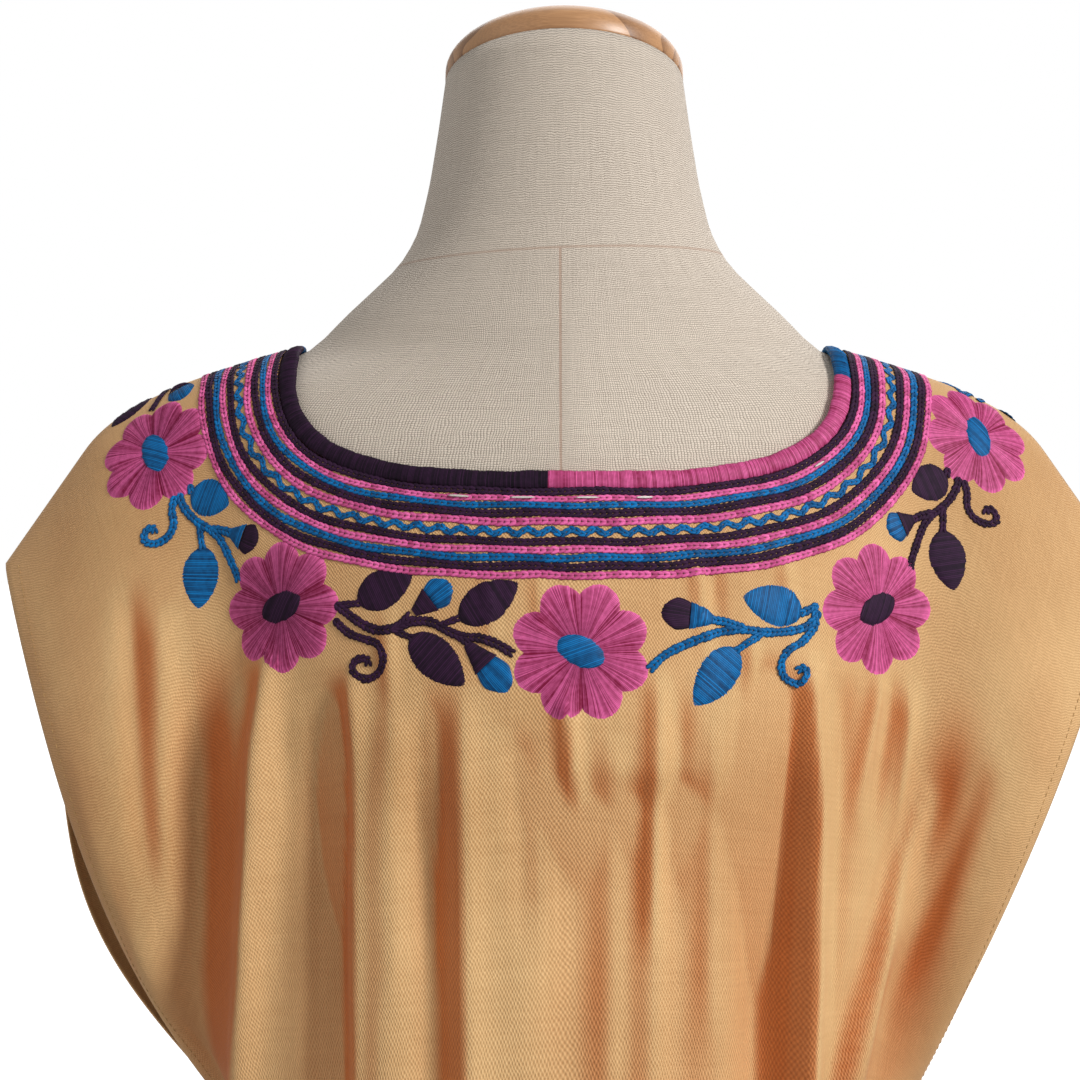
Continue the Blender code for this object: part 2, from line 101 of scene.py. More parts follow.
FORM_COLUMNS = ("height", "half_width", "back", "front", "roundness", "centre", "tilt")
FORM_ROWS = (
    (0.300, 0.148, 0.096, 0.090, 2.3, 0.0, 0),
    (0.345, 0.154, 0.102, 0.095, 2.3, 0.0, 0),
    (0.410, 0.138, 0.092, 0.091, 2.3, 0.0, 0),
    (0.480, 0.118, 0.076, 0.086, 2.2, 0.0, 0),
    (0.560, 0.124, 0.085, 0.101, 2.2, 0.0, 0),
    (0.640, 0.139, 0.102, 0.124, 2.2, 0.0, 0),
    (0.700, 0.149, 0.110, 0.119, 2.1, 0.0, 0),
    (0.755, 0.166, 0.1085, 0.104, 2.0, 0.0, 0),
    (0.800, 0.186, 0.101, 0.089, 1.8, 0.0, 0),
    (0.832, 0.197, 0.0905, 0.075, 1.6, 0.0, 0),
    (0.855, 0.200, 0.0835, 0.066, 1.5, 0.0, 0),
    (0.868, 0.195, 0.0785, 0.061, 1.45, 0.0, 0),
    (0.878, 0.178, 0.0755, 0.058, 1.45, 0.0, 0),
    (0.888, 0.148, 0.0725, 0.056, 1.5, 0.0, 0),
    (0.895, 0.128, 0.0705, 0.055, 1.55, 0.0, 0),
    (0.903, 0.1165, 0.0685, 0.055, 1.65, 0.0, 0),
    (0.913, 0.1065, 0.0660, 0.055, 1.75, 0.0, 0),
    (0.925, 0.0935, 0.0635, 0.055, 1.85, 0.0, 0),
    (0.938, 0.0800, 0.0615, 0.055, 1.95, 0.0, 0),
    (0.950, 0.0725, 0.0600, 0.056, 2.0, -0.001, 1),
    (0.970, 0.0665, 0.0585, 0.058, 2.0, -0.002, 4),
    (0.995, 0.0620, 0.0580, 0.058, 2.0, -0.004, 9),
    (1.026, 0.0575, 0.0575, 0.0575, 2.0, -0.006, 15),
)

# %% Folds that the solids have too
FOLD_COLUMNS = ("half", "x_top", "z_top", "x_waist", "x_hem", "z_end", "reach", "height")
FOLDS = (
    ("back", 0.134, 0.765, 0.148, 0.150, 0.20, 0.012, 0.008),
    ("back", 0.165, 0.760, 0.172, 0.176, 0.20, 0.014, -0.010),
    ("back", 0.108, 0.740, 0.110, 0.112, 0.20, 0.016, -0.010),
    ("back", 0.084, 0.735, 0.082, 0.078, 0.20, 0.012, 0.004),
    ("back", 0.061, 0.750, 0.058, 0.052, 0.36, 0.009, -0.004),
    ("back", 0.045, 0.745, 0.040, 0.026, 0.20, 0.009, 0.003),
    ("back", 0.000, 0.730, -0.004, -0.010, 0.20, 0.014, -0.004),
    ("back", -0.040, 0.740, -0.036, -0.040, 0.20, 0.009, 0.004),
    ("back", -0.089, 0.755, -0.088, -0.082, 0.20, 0.015, -0.010),
    ("back", -0.111, 0.740, -0.101, -0.108, 0.20, 0.010, 0.008),
    ("back", -0.165, 0.680, -0.116, -0.140, 0.20, 0.010, 0.007),
    ("back", -0.172, 0.735, -0.141, -0.162, 0.20, 0.013, -0.009),
    ("front", 0.150, 0.740, 0.150, 0.156, 0.20, 0.013, -0.009),
    ("front", 0.122, 0.700, 0.124, 0.128, 0.20, 0.012, 0.008),
    ("front", 0.090, 0.665, 0.094, 0.100, 0.20, 0.014, -0.010),
    ("front", 0.060, 0.660, 0.062, 0.066, 0.20, 0.012, 0.006),
    ("front", 0.028, 0.650, 0.030, 0.034, 0.20, 0.014, -0.007),
    ("front", -0.006, 0.645, -0.008, -0.010, 0.20, 0.012, 0.005),
    ("front", -0.040, 0.655, -0.044, -0.050, 0.20, 0.014, -0.008),
    ("front", -0.074, 0.670, -0.078, -0.084, 0.20, 0.012, 0.007),
    ("front", -0.108, 0.690, -0.112, -0.118, 0.20, 0.014, -0.010),
    ("front", -0.142, 0.735, -0.146, -0.152, 0.20, 0.013, 0.007),
)
FOLD_START = 0.060
FOLD_GROWTH = 0.6
TROUGH_SHARE = 0.7
PROBE = 0.004
NECK_TRIES = 8
NECK_HALVINGS = 20
NECK_SAMPLES = 60
FAN_POWER = 1.6

# %% [markdown]
# ## Creases too fine for the solids
# Each row is one soft ridge or trough, a line from its top to its foot as seen from behind or in front. The
# lengths, depths and spacing are uneven, as they are in cotton that has been worn and folded away.

# %% The fine creases
CREASE_COLUMNS = ("half", "x_top", "z_top", "x_foot", "z_foot", "reach", "height")
CREASES = (
    ("back", 0.1315, 0.752, 0.1490, 0.420, 0.0055, 0.0042),
    ("back", 0.1430, 0.745, 0.1590, 0.520, 0.0065, -0.0032),
    ("back", 0.0935, 0.745, 0.0920, 0.400, 0.0050, 0.0042),
    ("back", 0.1035, 0.738, 0.1010, 0.420, 0.0060, -0.0034),
    ("back", -0.0420, 0.700, -0.0400, 0.400, 0.0300, -0.0060),
    ("back", 0.1180, 0.730, 0.1220, 0.500, 0.0045, 0.0018),
    ("back", 0.0750, 0.728, 0.0740, 0.610, 0.0055, 0.0014),
    ("back", 0.0607, 0.735, 0.0590, 0.620, 0.0050, -0.0015),
    ("back", 0.0450, 0.738, 0.0430, 0.560, 0.0055, 0.0018),
    ("back", 0.0220, 0.722, 0.0180, 0.640, 0.0060, -0.0018),
    ("back", 0.0005, 0.738, -0.0040, 0.690, 0.0042, 0.0040),
    ("back", -0.0200, 0.716, -0.0180, 0.560, 0.0060, 0.0015),
    ("back", -0.0390, 0.745, -0.0365, 0.640, 0.0042, 0.0026),
    ("back", -0.0490, 0.735, -0.0460, 0.650, 0.0045, -0.0022),
    ("back", -0.0640, 0.722, -0.0620, 0.600, 0.0050, 0.0014),
    ("back", -0.0880, 0.748, -0.0880, 0.480, 0.0080, -0.0040),
    ("back", -0.0970, 0.742, -0.0945, 0.520, 0.0042, -0.0025),
    ("back", -0.1080, 0.748, -0.1010, 0.470, 0.0045, 0.0050),
    ("back", -0.1240, 0.740, -0.1160, 0.600, 0.0050, -0.0022),
    ("back", -0.1400, 0.745, -0.1290, 0.690, 0.0038, 0.0034),
    ("back", -0.1480, 0.738, -0.1390, 0.684, 0.0034, -0.0026),
    ("back", -0.1560, 0.735, -0.1500, 0.676, 0.0036, 0.0028),
    ("back", -0.1640, 0.690, -0.1190, 0.560, 0.0052, 0.0042),
    ("back", -0.1540, 0.682, -0.1090, 0.550, 0.0060, -0.0026),
    ("back", -0.1880, 0.700, -0.1500, 0.590, 0.0060, -0.0022),
    ("back", -0.0630, 0.800, -0.0660, 0.770, 0.0030, -0.0020),
    ("back", -0.0565, 0.800, -0.0590, 0.768, 0.0030, 0.0018),
    ("back", 0.0340, 0.792, 0.0330, 0.766, 0.0030, 0.0014),
    ("back", 0.0780, 0.770, 0.0760, 0.735, 0.0035, 0.0020),
    ("back", 0.0120, 0.790, 0.0110, 0.765, 0.0030, 0.0014),
    ("back", -0.0960, 0.800, -0.0990, 0.770, 0.0030, 0.0016),
    ("back", -0.0800, 0.765, -0.0810, 0.735, 0.0032, 0.0022),
    ("back", 0.1850, 0.770, 0.1760, 0.620, 0.0070, 0.0030),
    ("back", 0.2000, 0.780, 0.1900, 0.660, 0.0060, -0.0025),
    ("back", 0.0300, 0.520, 0.0220, 0.330, 0.0060, 0.0024),
    ("back", -0.0700, 0.540, -0.0640, 0.360, 0.0060, 0.0024),
    ("front", 0.130, 0.730, 0.112, 0.600, 0.0060, 0.0024),
    ("front", 0.045, 0.680, 0.046, 0.560, 0.0060, -0.0018),
    ("front", -0.022, 0.672, -0.026, 0.540, 0.0060, 0.0018),
    ("front", -0.092, 0.690, -0.096, 0.580, 0.0055, -0.0018),
    ("front", -0.160, 0.740, -0.146, 0.640, 0.0060, 0.0024),
    ("front", 0.010, 0.500, 0.014, 0.320, 0.0060, 0.0022),
    ("front", -0.064, 0.520, -0.066, 0.340, 0.0060, -0.0020),
)
CREASE_ENDS = 0.022
RUMPLE = 0.0005


# %% [markdown]
# ## How the cloth lies
# The functions below work out one point of cloth at a time. `across` runs from -1 at one side seam to 1 at
# the other, and `down` runs from 0 at the shoulder seam past 1, at the foot of the sleeve, to 2 at the hem.

# %% Curves and tables
def named_rows(columns, rows):
    return [dict(zip(columns, row)) for row in rows]


def smooth_table(rows, key, values, column):
    """A column of a table read along another, on a smooth curve through the rows."""
    at = np.array([row[key] for row in rows])
    out = np.array([row[column] for row in rows])
    slope = np.gradient(out, at)
    values = np.clip(values, at[0], at[-1])
    i = np.clip(np.searchsorted(at, values) - 1, 0, len(at) - 2)
    step = at[i + 1] - at[i]
    t = (values - at[i]) / step
    rising = (2 * t**3 - 3 * t**2 + 1) * out[i] + (t**3 - 2 * t**2 + t) * step * slope[i]
    return rising + (3 * t**2 - 2 * t**3) * out[i + 1] + (t**3 - t**2) * step * slope[i + 1]


def smooth_step(low, high, value):
    t = np.clip((value - low) / (high - low), 0, 1)
    return t * t * (3 - 2 * t)


# %% The form under the cloth
def form_level(p):
    rows = named_rows(FORM_COLUMNS, FORM_ROWS)
    wide, back, front, power = (
        smooth_table(rows, "height", p[..., 2], name) for name in ("half_width", "back", "front", "roundness")
    )
    deep = np.where(p[..., 1] > 0, back, front)
    return (np.abs(p[..., 0] / wide) ** power + np.abs(p[..., 1] / deep) ** power) ** (1 / power) - 1


def form_distance(p):
    step = 0.0004
    level = form_level(p)
    slope = np.stack([(form_level(p + step * axis) - form_level(p - step * axis)) / (2 * step)
                      for axis in np.eye(3)], -1)
    steepness = np.linalg.norm(slope, axis=-1)
    return level / steepness, slope / steepness[..., None]


def rest_on_form(p):
    for _ in range(5):
        gap, away = form_distance(p)
        over = np.clip((gap - CLEAR) / REST_SOFTNESS, -30, 30)
        wanted = CLEAR + REST_SOFTNESS * np.log1p(np.exp(over))
        move = np.where(over > 8, 0.0, wanted - gap)
        p = p + move[..., None] * away * 0.5
    return p


# %% The hang of the cloth
def shoulder_seam(along):
    slope = math.atan(SHOULDER_SLOPE)
    fall = math.radians(SLEEVE_SLOPE_DEG)
    straight = SHOULDER_TIP_X / math.cos(slope)
    bend = SHOULDER_BEND_RADIUS * (fall - slope)
    angle = slope + np.clip((along - straight) / bend, 0, 1) * (fall - slope)
    on_slope = np.minimum(along, straight)
    beyond = np.maximum(along - straight - bend, 0)
    x = on_slope * math.cos(slope) + SHOULDER_BEND_RADIUS * (np.sin(angle) - math.sin(slope))
    x = x + beyond * math.cos(fall)
    drop = on_slope * math.sin(slope) + SHOULDER_BEND_RADIUS * (math.cos(slope) - np.cos(angle))
    drop = drop + beyond * math.sin(fall)
    top = SHOULDER_Z + SHOULDER_SLOPE * NECK_HALF_WIDTH - SIT_BELOW_FORM
    return x, top - drop


def blouse_base(half, across, down):
    side = np.where(across < 0, -1, 1)
    t = np.abs(across)
    turn = np.clip(down, 0, 1) * math.pi / 2
    skirt = np.clip(down - 1, 0, 1)
    seam_x, seam_z = shoulder_seam(t * SHOULDER_LINE)
    wide = WAIST_HALF_WIDTH + (HEM_HALF_WIDTH - WAIST_HALF_WIDTH) * smooth_step(0, 1, skirt)
    deep = half["waist_depth"] + (half["hem_depth"] - half["waist_depth"]) * skirt
    round_ring = 2 / RING_ROUNDNESS
    ring_x = wide * np.sin(t * math.pi / 2) ** round_ring
    ring_y = deep * np.clip(np.cos(t * math.pi / 2), 0, 1) ** round_ring
    sleeve = smooth_step(0.55, 1.0, t)
    swing = np.where(side > 0, SLEEVE_SWING[half["name"], 1], SLEEVE_SWING[half["name"], -1])
    fall = np.clip(down, 0, 1)
    rise = 2 / half["rise"]
    drop = (1 - sleeve) * (1 - np.clip(np.cos(turn), 0, 1) ** rise) + sleeve * fall
    bulge = np.clip(np.sin(math.pi * fall), 0, 1) ** 0.75
    low_bulge = np.sin(math.pi * fall**1.6)
    x = seam_x + (ring_x - seam_x) * fall + sleeve * swing * low_bulge
    y = ring_y * np.sin(turn) ** rise + sleeve * SLEEVE_OPENING_DEPTH * bulge
    z = seam_z + (WAIST_RING_Z - seam_z) * drop - (WAIST_RING_Z - HEM_Z) * skirt
    return rest_on_form(np.stack([side * x, half["side"] * y, z], -1))


# %% Folds and creases
def fold_height(half, p):
    x, z = p[..., 0], p[..., 2]
    total = np.zeros_like(x)
    for fold in named_rows(FOLD_COLUMNS, FOLDS):
        if fold["half"] == half["name"]:
            heights = (HEM_Z, WAIST_RING_Z, fold["z_top"])
            middle = np.interp(z, heights, (fold["x_hem"], fold["x_waist"], fold["x_top"]))
            skirt = smooth_step(0, 1, (WAIST_RING_Z - z) / (WAIST_RING_Z - HEM_Z))
            reach = fold["reach"] * (1 + FOLD_GROWTH * 0.5 * skirt)
            rise = fold["height"] * (1 + FOLD_GROWTH * skirt)
            start = smooth_step(fold["z_top"] + 0.01, fold["z_top"] - FOLD_START, z)
            end = smooth_step(fold["z_end"] - 0.05, fold["z_end"] + 0.05, z)
            total = total + rise * start * end * np.exp(-((x - middle) / reach) ** 2)
    return total


def crease_height(half, p):
    """The fine creases, and a slight unevenness all over."""
    x, z = p[..., 0], p[..., 2]
    total = RUMPLE * np.sin(61 * x + 23 * z + 2 * np.sin(31 * z)) * np.sin(37 * z - 19 * x + 1.3)
    fine = np.sin(143 * x + 9 * z + 3 * np.sin(17 * z + 2))
    total = total + RUMPLE * 0.6 * fine * smooth_step(0.86, 0.70, z)
    for crease in named_rows(CREASE_COLUMNS, CREASES):
        if crease["half"] == half["name"]:
            middle = np.interp(z, (crease["z_foot"], crease["z_top"]), (crease["x_foot"], crease["x_top"]))
            start = smooth_step(crease["z_top"] + CREASE_ENDS / 2, crease["z_top"] - CREASE_ENDS / 2, z)
            end = smooth_step(crease["z_foot"] - CREASE_ENDS, crease["z_foot"] + CREASE_ENDS, z)
            total = total + crease["height"] * start * end * np.exp(-((x - middle) / crease["reach"]) ** 2)
    return total


def surface_normals(half, surface, across, down):
    left, right = np.maximum(across - PROBE, -1), np.minimum(across + PROBE, 1)
    high, low = np.maximum(down - PROBE, 0), np.clip(down + PROBE, 2 * PROBE, 2)
    sideways = surface(half, right, down) - surface(half, left, down)
    downwards = surface(half, across, low) - surface(half, across, high)
    normal = np.cross(sideways, downwards) * half["side"]
    return normal / np.linalg.norm(normal, axis=-1)[..., None]


def fold_lift(half, plain, across, down):
    """How far the folds and creases lift the cloth off its plain hang."""
    room = np.clip(form_distance(plain)[0] - CLEAR, 0, None) * TROUGH_SHARE
    at_side = smooth_step(1.0, 0.93, np.abs(across))
    at_top = smooth_step(0.0, 0.15, down)
    raised = fold_height(half, plain) + crease_height(half, plain)
    return np.maximum(raised * at_side * at_top, -room)


def blouse_surface(half, across, down):
    plain = blouse_base(half, across, down)
    lift = fold_lift(half, plain, across, down)
    return plain + lift[..., None] * surface_normals(half, blouse_base, across, down)


# %% The neck edge
def seam_top(half):
    across = np.array(NECK_HALF_WIDTH / SHOULDER_LINE)
    for _ in range(NECK_TRIES):
        across = across * NECK_HALF_WIDTH / blouse_base(half, across, 0 * across)[0]
    return across


def neck_edge(half, count):
    top = blouse_base(half, seam_top(half), np.array(0.0))
    power = 2 / half["neck_roundness"]
    angle = math.pi / 2 * (1 - np.linspace(1, 0, NECK_SAMPLES) ** 3)
    x = NECK_HALF_WIDTH * np.sin(angle) ** power
    z = top[2] - (top[2] - SHOULDER_Z + half["neck_drop"]) * np.clip(np.cos(angle), 0, 1) ** power
    across = x / SHOULDER_LINE
    for _ in range(NECK_TRIES):
        low, high = np.zeros(NECK_SAMPLES), np.ones(NECK_SAMPLES)
        for _ in range(NECK_HALVINGS):
            down = (low + high) / 2
            above = blouse_base(half, across, down)[..., 2] > z
            low = np.where(above, down, low)
            high = np.where(above, high, down)
        found = blouse_base(half, across, down)[..., 0]
        across = across * np.where(x > 0, x / np.where(x > 0, found, 1), 1)
    across[-1], down[-1] = seam_top(half), 0
    edge = blouse_base(half, across, down)
    steps = np.linalg.norm(np.diff(edge, axis=0), axis=-1)
    length = np.concatenate([[0], np.cumsum(steps)])
    even = np.linspace(0, length[-1], count)
    return np.interp(even, length, across), np.interp(even, length, down)


# %% [markdown]
# ## The cloth
# A flat grid from the bmesh operator is the start of each half. Every vertex is then moved to its place in
# the hanging cloth. A Solidify modifier gives the thin wall, so the hem and the sleeves show a real edge.

# %% A grid laid on the half
NECK_COLUMNS = 78
ARM_COLUMNS = 46
YOKE_ROWS = 96
SKIRT_ROWS = 68
CLOTH = 0.0009
FLAT_WIDTH = 0.29  # of the cut, from the centre line to the side seam, for the weave's scale
FLAT_LENGTH = 0.34
FOLD_FULL = 0.007  # the depth at which a fold's painted shade is fullest


def half_places(half):
    neck_across, neck_down = neck_edge(half, NECK_COLUMNS)
    seam = np.linspace(neck_across[-1], 1, ARM_COLUMNS + 1)[1:]
    top = np.concatenate([neck_across, seam])[:, None]
    start = np.concatenate([neck_down, 0 * seam])[:, None]
    even = np.linspace(0, 1, len(top))[:, None]
    yoke = np.linspace(0, 1, YOKE_ROWS + 1)[None, :]
    skirt = np.linspace(0, 1, SKIRT_ROWS + 1)[None, 1:]
    fan = 1 - (1 - yoke) ** FAN_POWER
    across = np.concatenate([top + (even - top) * fan, even + 0 * skirt], 1)
    down = np.concatenate([start + (1 - start) * yoke, 1 + skirt + 0 * even], 1)
    return np.concatenate([-across[:0:-1], across]), np.concatenate([down[:0:-1], down])


def grid_mesh(columns, rows):
    """A flat grid, and the column and row of each of its vertices."""
    bm = bmesh.new()
    bmesh.ops.create_grid(bm, x_segments=columns - 1, y_segments=rows - 1, size=0.5)
    bm.verts.ensure_lookup_table()
    flat = np.array([v.co[:2] for v in bm.verts])
    column = np.rint((flat[:, 0] + 0.5) * (columns - 1)).astype(int)
    row = np.rint((0.5 - flat[:, 1]) * (rows - 1)).astype(int)
    return bm, column, row


def finished(name, bm, material):
    """A bmesh as an object of the scene that rides on the part."""
    mesh = bpy.data.meshes.new(name)
    bm.to_mesh(mesh)
    bm.free()
    for one in material if isinstance(material, (list, tuple)) else [material]:
        mesh.materials.append(one)
    mesh.shade_smooth()
    obj = bpy.data.objects.new(name, mesh)
    bpy.context.scene.collection.objects.link(obj)
    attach(obj, "root")
    return obj


def laid_grid(name, points, uv, outward, material, painted_shade=None):
    """A grid whose vertices go to points, with its faces turned to the side that outward points to."""
    columns, rows = points.shape[:2]
    bm, column, row = grid_mesh(columns, rows)
    layer = bm.loops.layers.uv.new("flat_cloth")
    # The shadow attribute carries painted shade for the cloth's folds, zero where none is given.
    fold = bm.verts.layers.float.new("shadow")
    for v, i, j in zip(bm.verts, column, row):
        v.co = points[i, j]
        v[fold] = 0.0 if painted_shade is None else painted_shade[i, j]
    bm.verts.index_update()
    for face in bm.faces:
        for loop in face.loops:
            k = loop.vert.index
            loop[layer].uv = uv[column[k], row[k]]
    bm.normal_update()
    some = list(bm.faces)[::97]
    facing = sum(face.normal.dot(Vector(outward(face.calc_center_median()))) for face in some)
    if facing < 0:
        bmesh.ops.reverse_faces(bm, faces=bm.faces)
    return finished(name, bm, material)


# %% [markdown]
# ## Shader groups
# Woven cloth is two sets of threads at right angles. One group draws them, with slubs where a thread is
# thicker, and the cotton and the linen use it with their own sizes.

# %% Helpers for node trees
def new_material(name):
    material = bpy.data.materials.new(name)
    material.use_nodes = True
    return material, material.node_tree.nodes["Principled BSDF"]


def add_node(tree, kind, **values):
    node = tree.nodes.new(kind)
    for key, value in values.items():
        if key in node.inputs:
            node.inputs[key].default_value = value
        else:
            setattr(node, key, value)
    return node


def maths(tree, operation, first, second=None, third=None):
    node = tree.nodes.new("ShaderNodeMath")
    node.operation = operation
    for socket, value in zip(node.inputs, (first, second, third)):
        if isinstance(value, (int, float)):
            socket.default_value = value
        elif value is not None:
            tree.links.new(value, socket)
    return node.outputs[0]


def noise(tree, place, scale, detail):
    node = add_node(tree, "ShaderNodeTexNoise", Scale=scale, Detail=detail)
    tree.links.new(place, node.inputs["Vector"])
    return node.outputs["Fac"]


def colour_ramp(tree, value, low, high):
    """Colours between two ends, each given as a position and a colour."""
    node = tree.nodes.new("ShaderNodeValToRGB")
    for element, (position, colour) in zip(node.color_ramp.elements, (low, high)):
        element.position = position
        element.color = (*colour, 1)
    tree.links.new(value, node.inputs["Fac"])
    return node.outputs["Color"]


def mix_colours(tree, share, first, second, blend="MIX"):
    node = tree.nodes.new("ShaderNodeMix")
    node.data_type = "RGBA"
    node.blend_type = blend
    tree.links.new(share, node.inputs[0])
    for socket, value in ((node.inputs[6], first), (node.inputs[7], second)):
        if isinstance(value, tuple):
            socket.default_value = (*value, 1)
        else:
            tree.links.new(value, socket)
    return node.outputs[2]


def bump_normal(tree, height, strength, distance, under=None):
    node = add_node(tree, "ShaderNodeBump", Strength=strength, Distance=distance)
    tree.links.new(height, node.inputs["Height"])
    if under is not None:
        tree.links.new(under, node.inputs["Normal"])
    return node.outputs["Normal"]


def new_group(name, inputs, outputs):
    """A node group with named float inputs, their usual values, and named outputs."""
    group = bpy.data.node_groups.new(name, "ShaderNodeTree")
    for key, kind, value in inputs:
        socket = group.interface.new_socket(key, in_out="INPUT", socket_type=kind)
        if value is not None:
            socket.default_value = value
    for key, kind in outputs:
        group.interface.new_socket(key, in_out="OUTPUT", socket_type=kind)
    return group, group.nodes.new("NodeGroupInput"), group.nodes.new("NodeGroupOutput")


# %% The weave
def make_weave_group():
    group, given, result = new_group(
        "plain_weave",
        [("Place", "NodeSocketVector", None), ("Threads per metre", "NodeSocketFloat", 1600.0),
         ("Slub", "NodeSocketFloat", 0.4)],
        [("Height", "NodeSocketFloat"), ("Open", "NodeSocketFloat"), ("Uneven", "NodeSocketFloat"),
         ("Float", "NodeSocketFloat")],
    )
    link = group.links.new
    wander = add_node(group, "ShaderNodeTexNoise", Scale=170.0, Detail=3.0)
    link(given.outputs["Place"], wander.inputs["Vector"])
    moved = group.nodes.new("ShaderNodeVectorMath")
    moved.operation = "MULTIPLY_ADD"
    moved.inputs[1].default_value = (0.0022, 0.0022, 0.0)
    link(wander.outputs["Color"], moved.inputs[0])
    link(given.outputs["Place"], moved.inputs[2])
    apart = group.nodes.new("ShaderNodeSeparateXYZ")
    link(moved.outputs[0], apart.inputs[0])
    heights = []
    slubs = []
    waves = []
    for axis in (0, 1):
        stretch = group.nodes.new("ShaderNodeMapping")
        stretch.inputs["Scale"].default_value = (900, 22, 1) if axis == 0 else (22, 900, 1)
        link(given.outputs["Place"], stretch.inputs["Vector"])
        slub = noise(group, stretch.outputs[0], 1.0, 2.0)
        turn = maths(group, "MULTIPLY", apart.outputs[axis], given.outputs["Threads per metre"])
        waves.append(maths(group, "SINE", maths(group, "MULTIPLY", turn, math.pi)))
        wave = maths(group, "ABSOLUTE", waves[-1])
        thick = maths(group, "SUBTRACT", slub, 0.5)
        thick = maths(group, "MULTIPLY", thick, given.outputs["Slub"])
        heights.append(maths(group, "ADD", wave, thick))
        slubs.append(thick)
    height = maths(group, "MAXIMUM", heights[0], heights[1])
    both = maths(group, "MINIMUM", heights[0], heights[1])
    link(height, result.inputs["Height"])
    link(maths(group, "SUBTRACT", 1.0, both), result.inputs["Open"])
    link(maths(group, "ADD", slubs[0], slubs[1]), result.inputs["Uneven"])
    over = maths(group, "MULTIPLY_ADD", maths(group, "MULTIPLY", waves[0], waves[1]), 0.5, 0.5)
    link(over, result.inputs["Float"])
    return group


WEAVE = make_weave_group()


def place_in(material, tree_group, place, **values):
    """Puts a group in a material, reading the cloth's own flat map or the object's coordinates."""
    tree = material.node_tree
    node = tree.nodes.new("ShaderNodeGroup")
    node.node_tree = tree_group
    for key, value in values.items():
        node.inputs[key.replace("_", " ")].default_value = value
    tree.links.new(place, node.inputs["Place"])
    return node


def flat_map(material):
    node = material.node_tree.nodes.new("ShaderNodeUVMap")
    node.uv_map = "flat_cloth"
    return node.outputs[0]


def object_map(material):
    return material.node_tree.nodes.new("ShaderNodeTexCoord").outputs["Object"]


# %% [markdown]
# ## Mustard cotton
# Fine cotton in a plain weave. Its colour drifts a little over a hand's width, each thread is a shade of
# its own, and the folds catch a soft sheen. Painted shade darkens the folds, most on the flanks turned
# away from the window light.

# %% The cotton
COTTON_THREADS = 1350.0  # to the metre
COTTON_DARK = (0.44, 0.215, 0.068)
COTTON_LIGHT = (0.84, 0.555, 0.260)
PAINTED_FOLD_SHADE = (0.86, 0.37, 0.15)  # painted shade: what the cloth's colour is multiplied by where a fold is fully in shade


def make_cotton():
    material, shader = new_material("mustard_cotton")
    tree = material.node_tree
    link = tree.links.new
    place = object_map(material)
    weave = place_in(material, WEAVE, flat_map(material), Threads_per_metre=COTTON_THREADS, Slub=0.45)
    mixed = maths(tree, "MULTIPLY", noise(tree, place, 9.0, 3.0), 0.6)
    mixed = maths(tree, "MULTIPLY_ADD", weave.outputs["Uneven"], 0.35, mixed)
    mixed = maths(tree, "MULTIPLY_ADD", weave.outputs["Float"], 0.42, mixed)
    mixed = maths(tree, "SUBTRACT", mixed, 0.03)
    colour = colour_ramp(tree, mixed, (0.15, COTTON_DARK), (0.80, COTTON_LIGHT))
    # Painted shade: the shadow attribute multiplies the colour towards a deep orange brown in troughs and on
    # flanks turned from the window.
    shadow = tree.nodes.new("ShaderNodeAttribute")
    shadow.attribute_name = "shadow"
    link(mix_colours(tree, shadow.outputs["Fac"], colour, PAINTED_FOLD_SHADE, "MULTIPLY"), shader.inputs["Base Color"])
    crinkle = bump_normal(tree, noise(tree, place, 75.0, 3.0), 0.5, 0.0012)
    link(bump_normal(tree, weave.outputs["Float"], 0.7, 0.0004, crinkle), shader.inputs["Normal"])
    shader.inputs["Roughness"].default_value = 0.72
    shader.inputs["Sheen Weight"].default_value = 0.12
    shader.inputs["Sheen Roughness"].default_value = 0.45
    shader.inputs["Sheen Tint"].default_value = (0.95, 0.82, 0.62, 1)
    return material


COTTON = make_cotton()

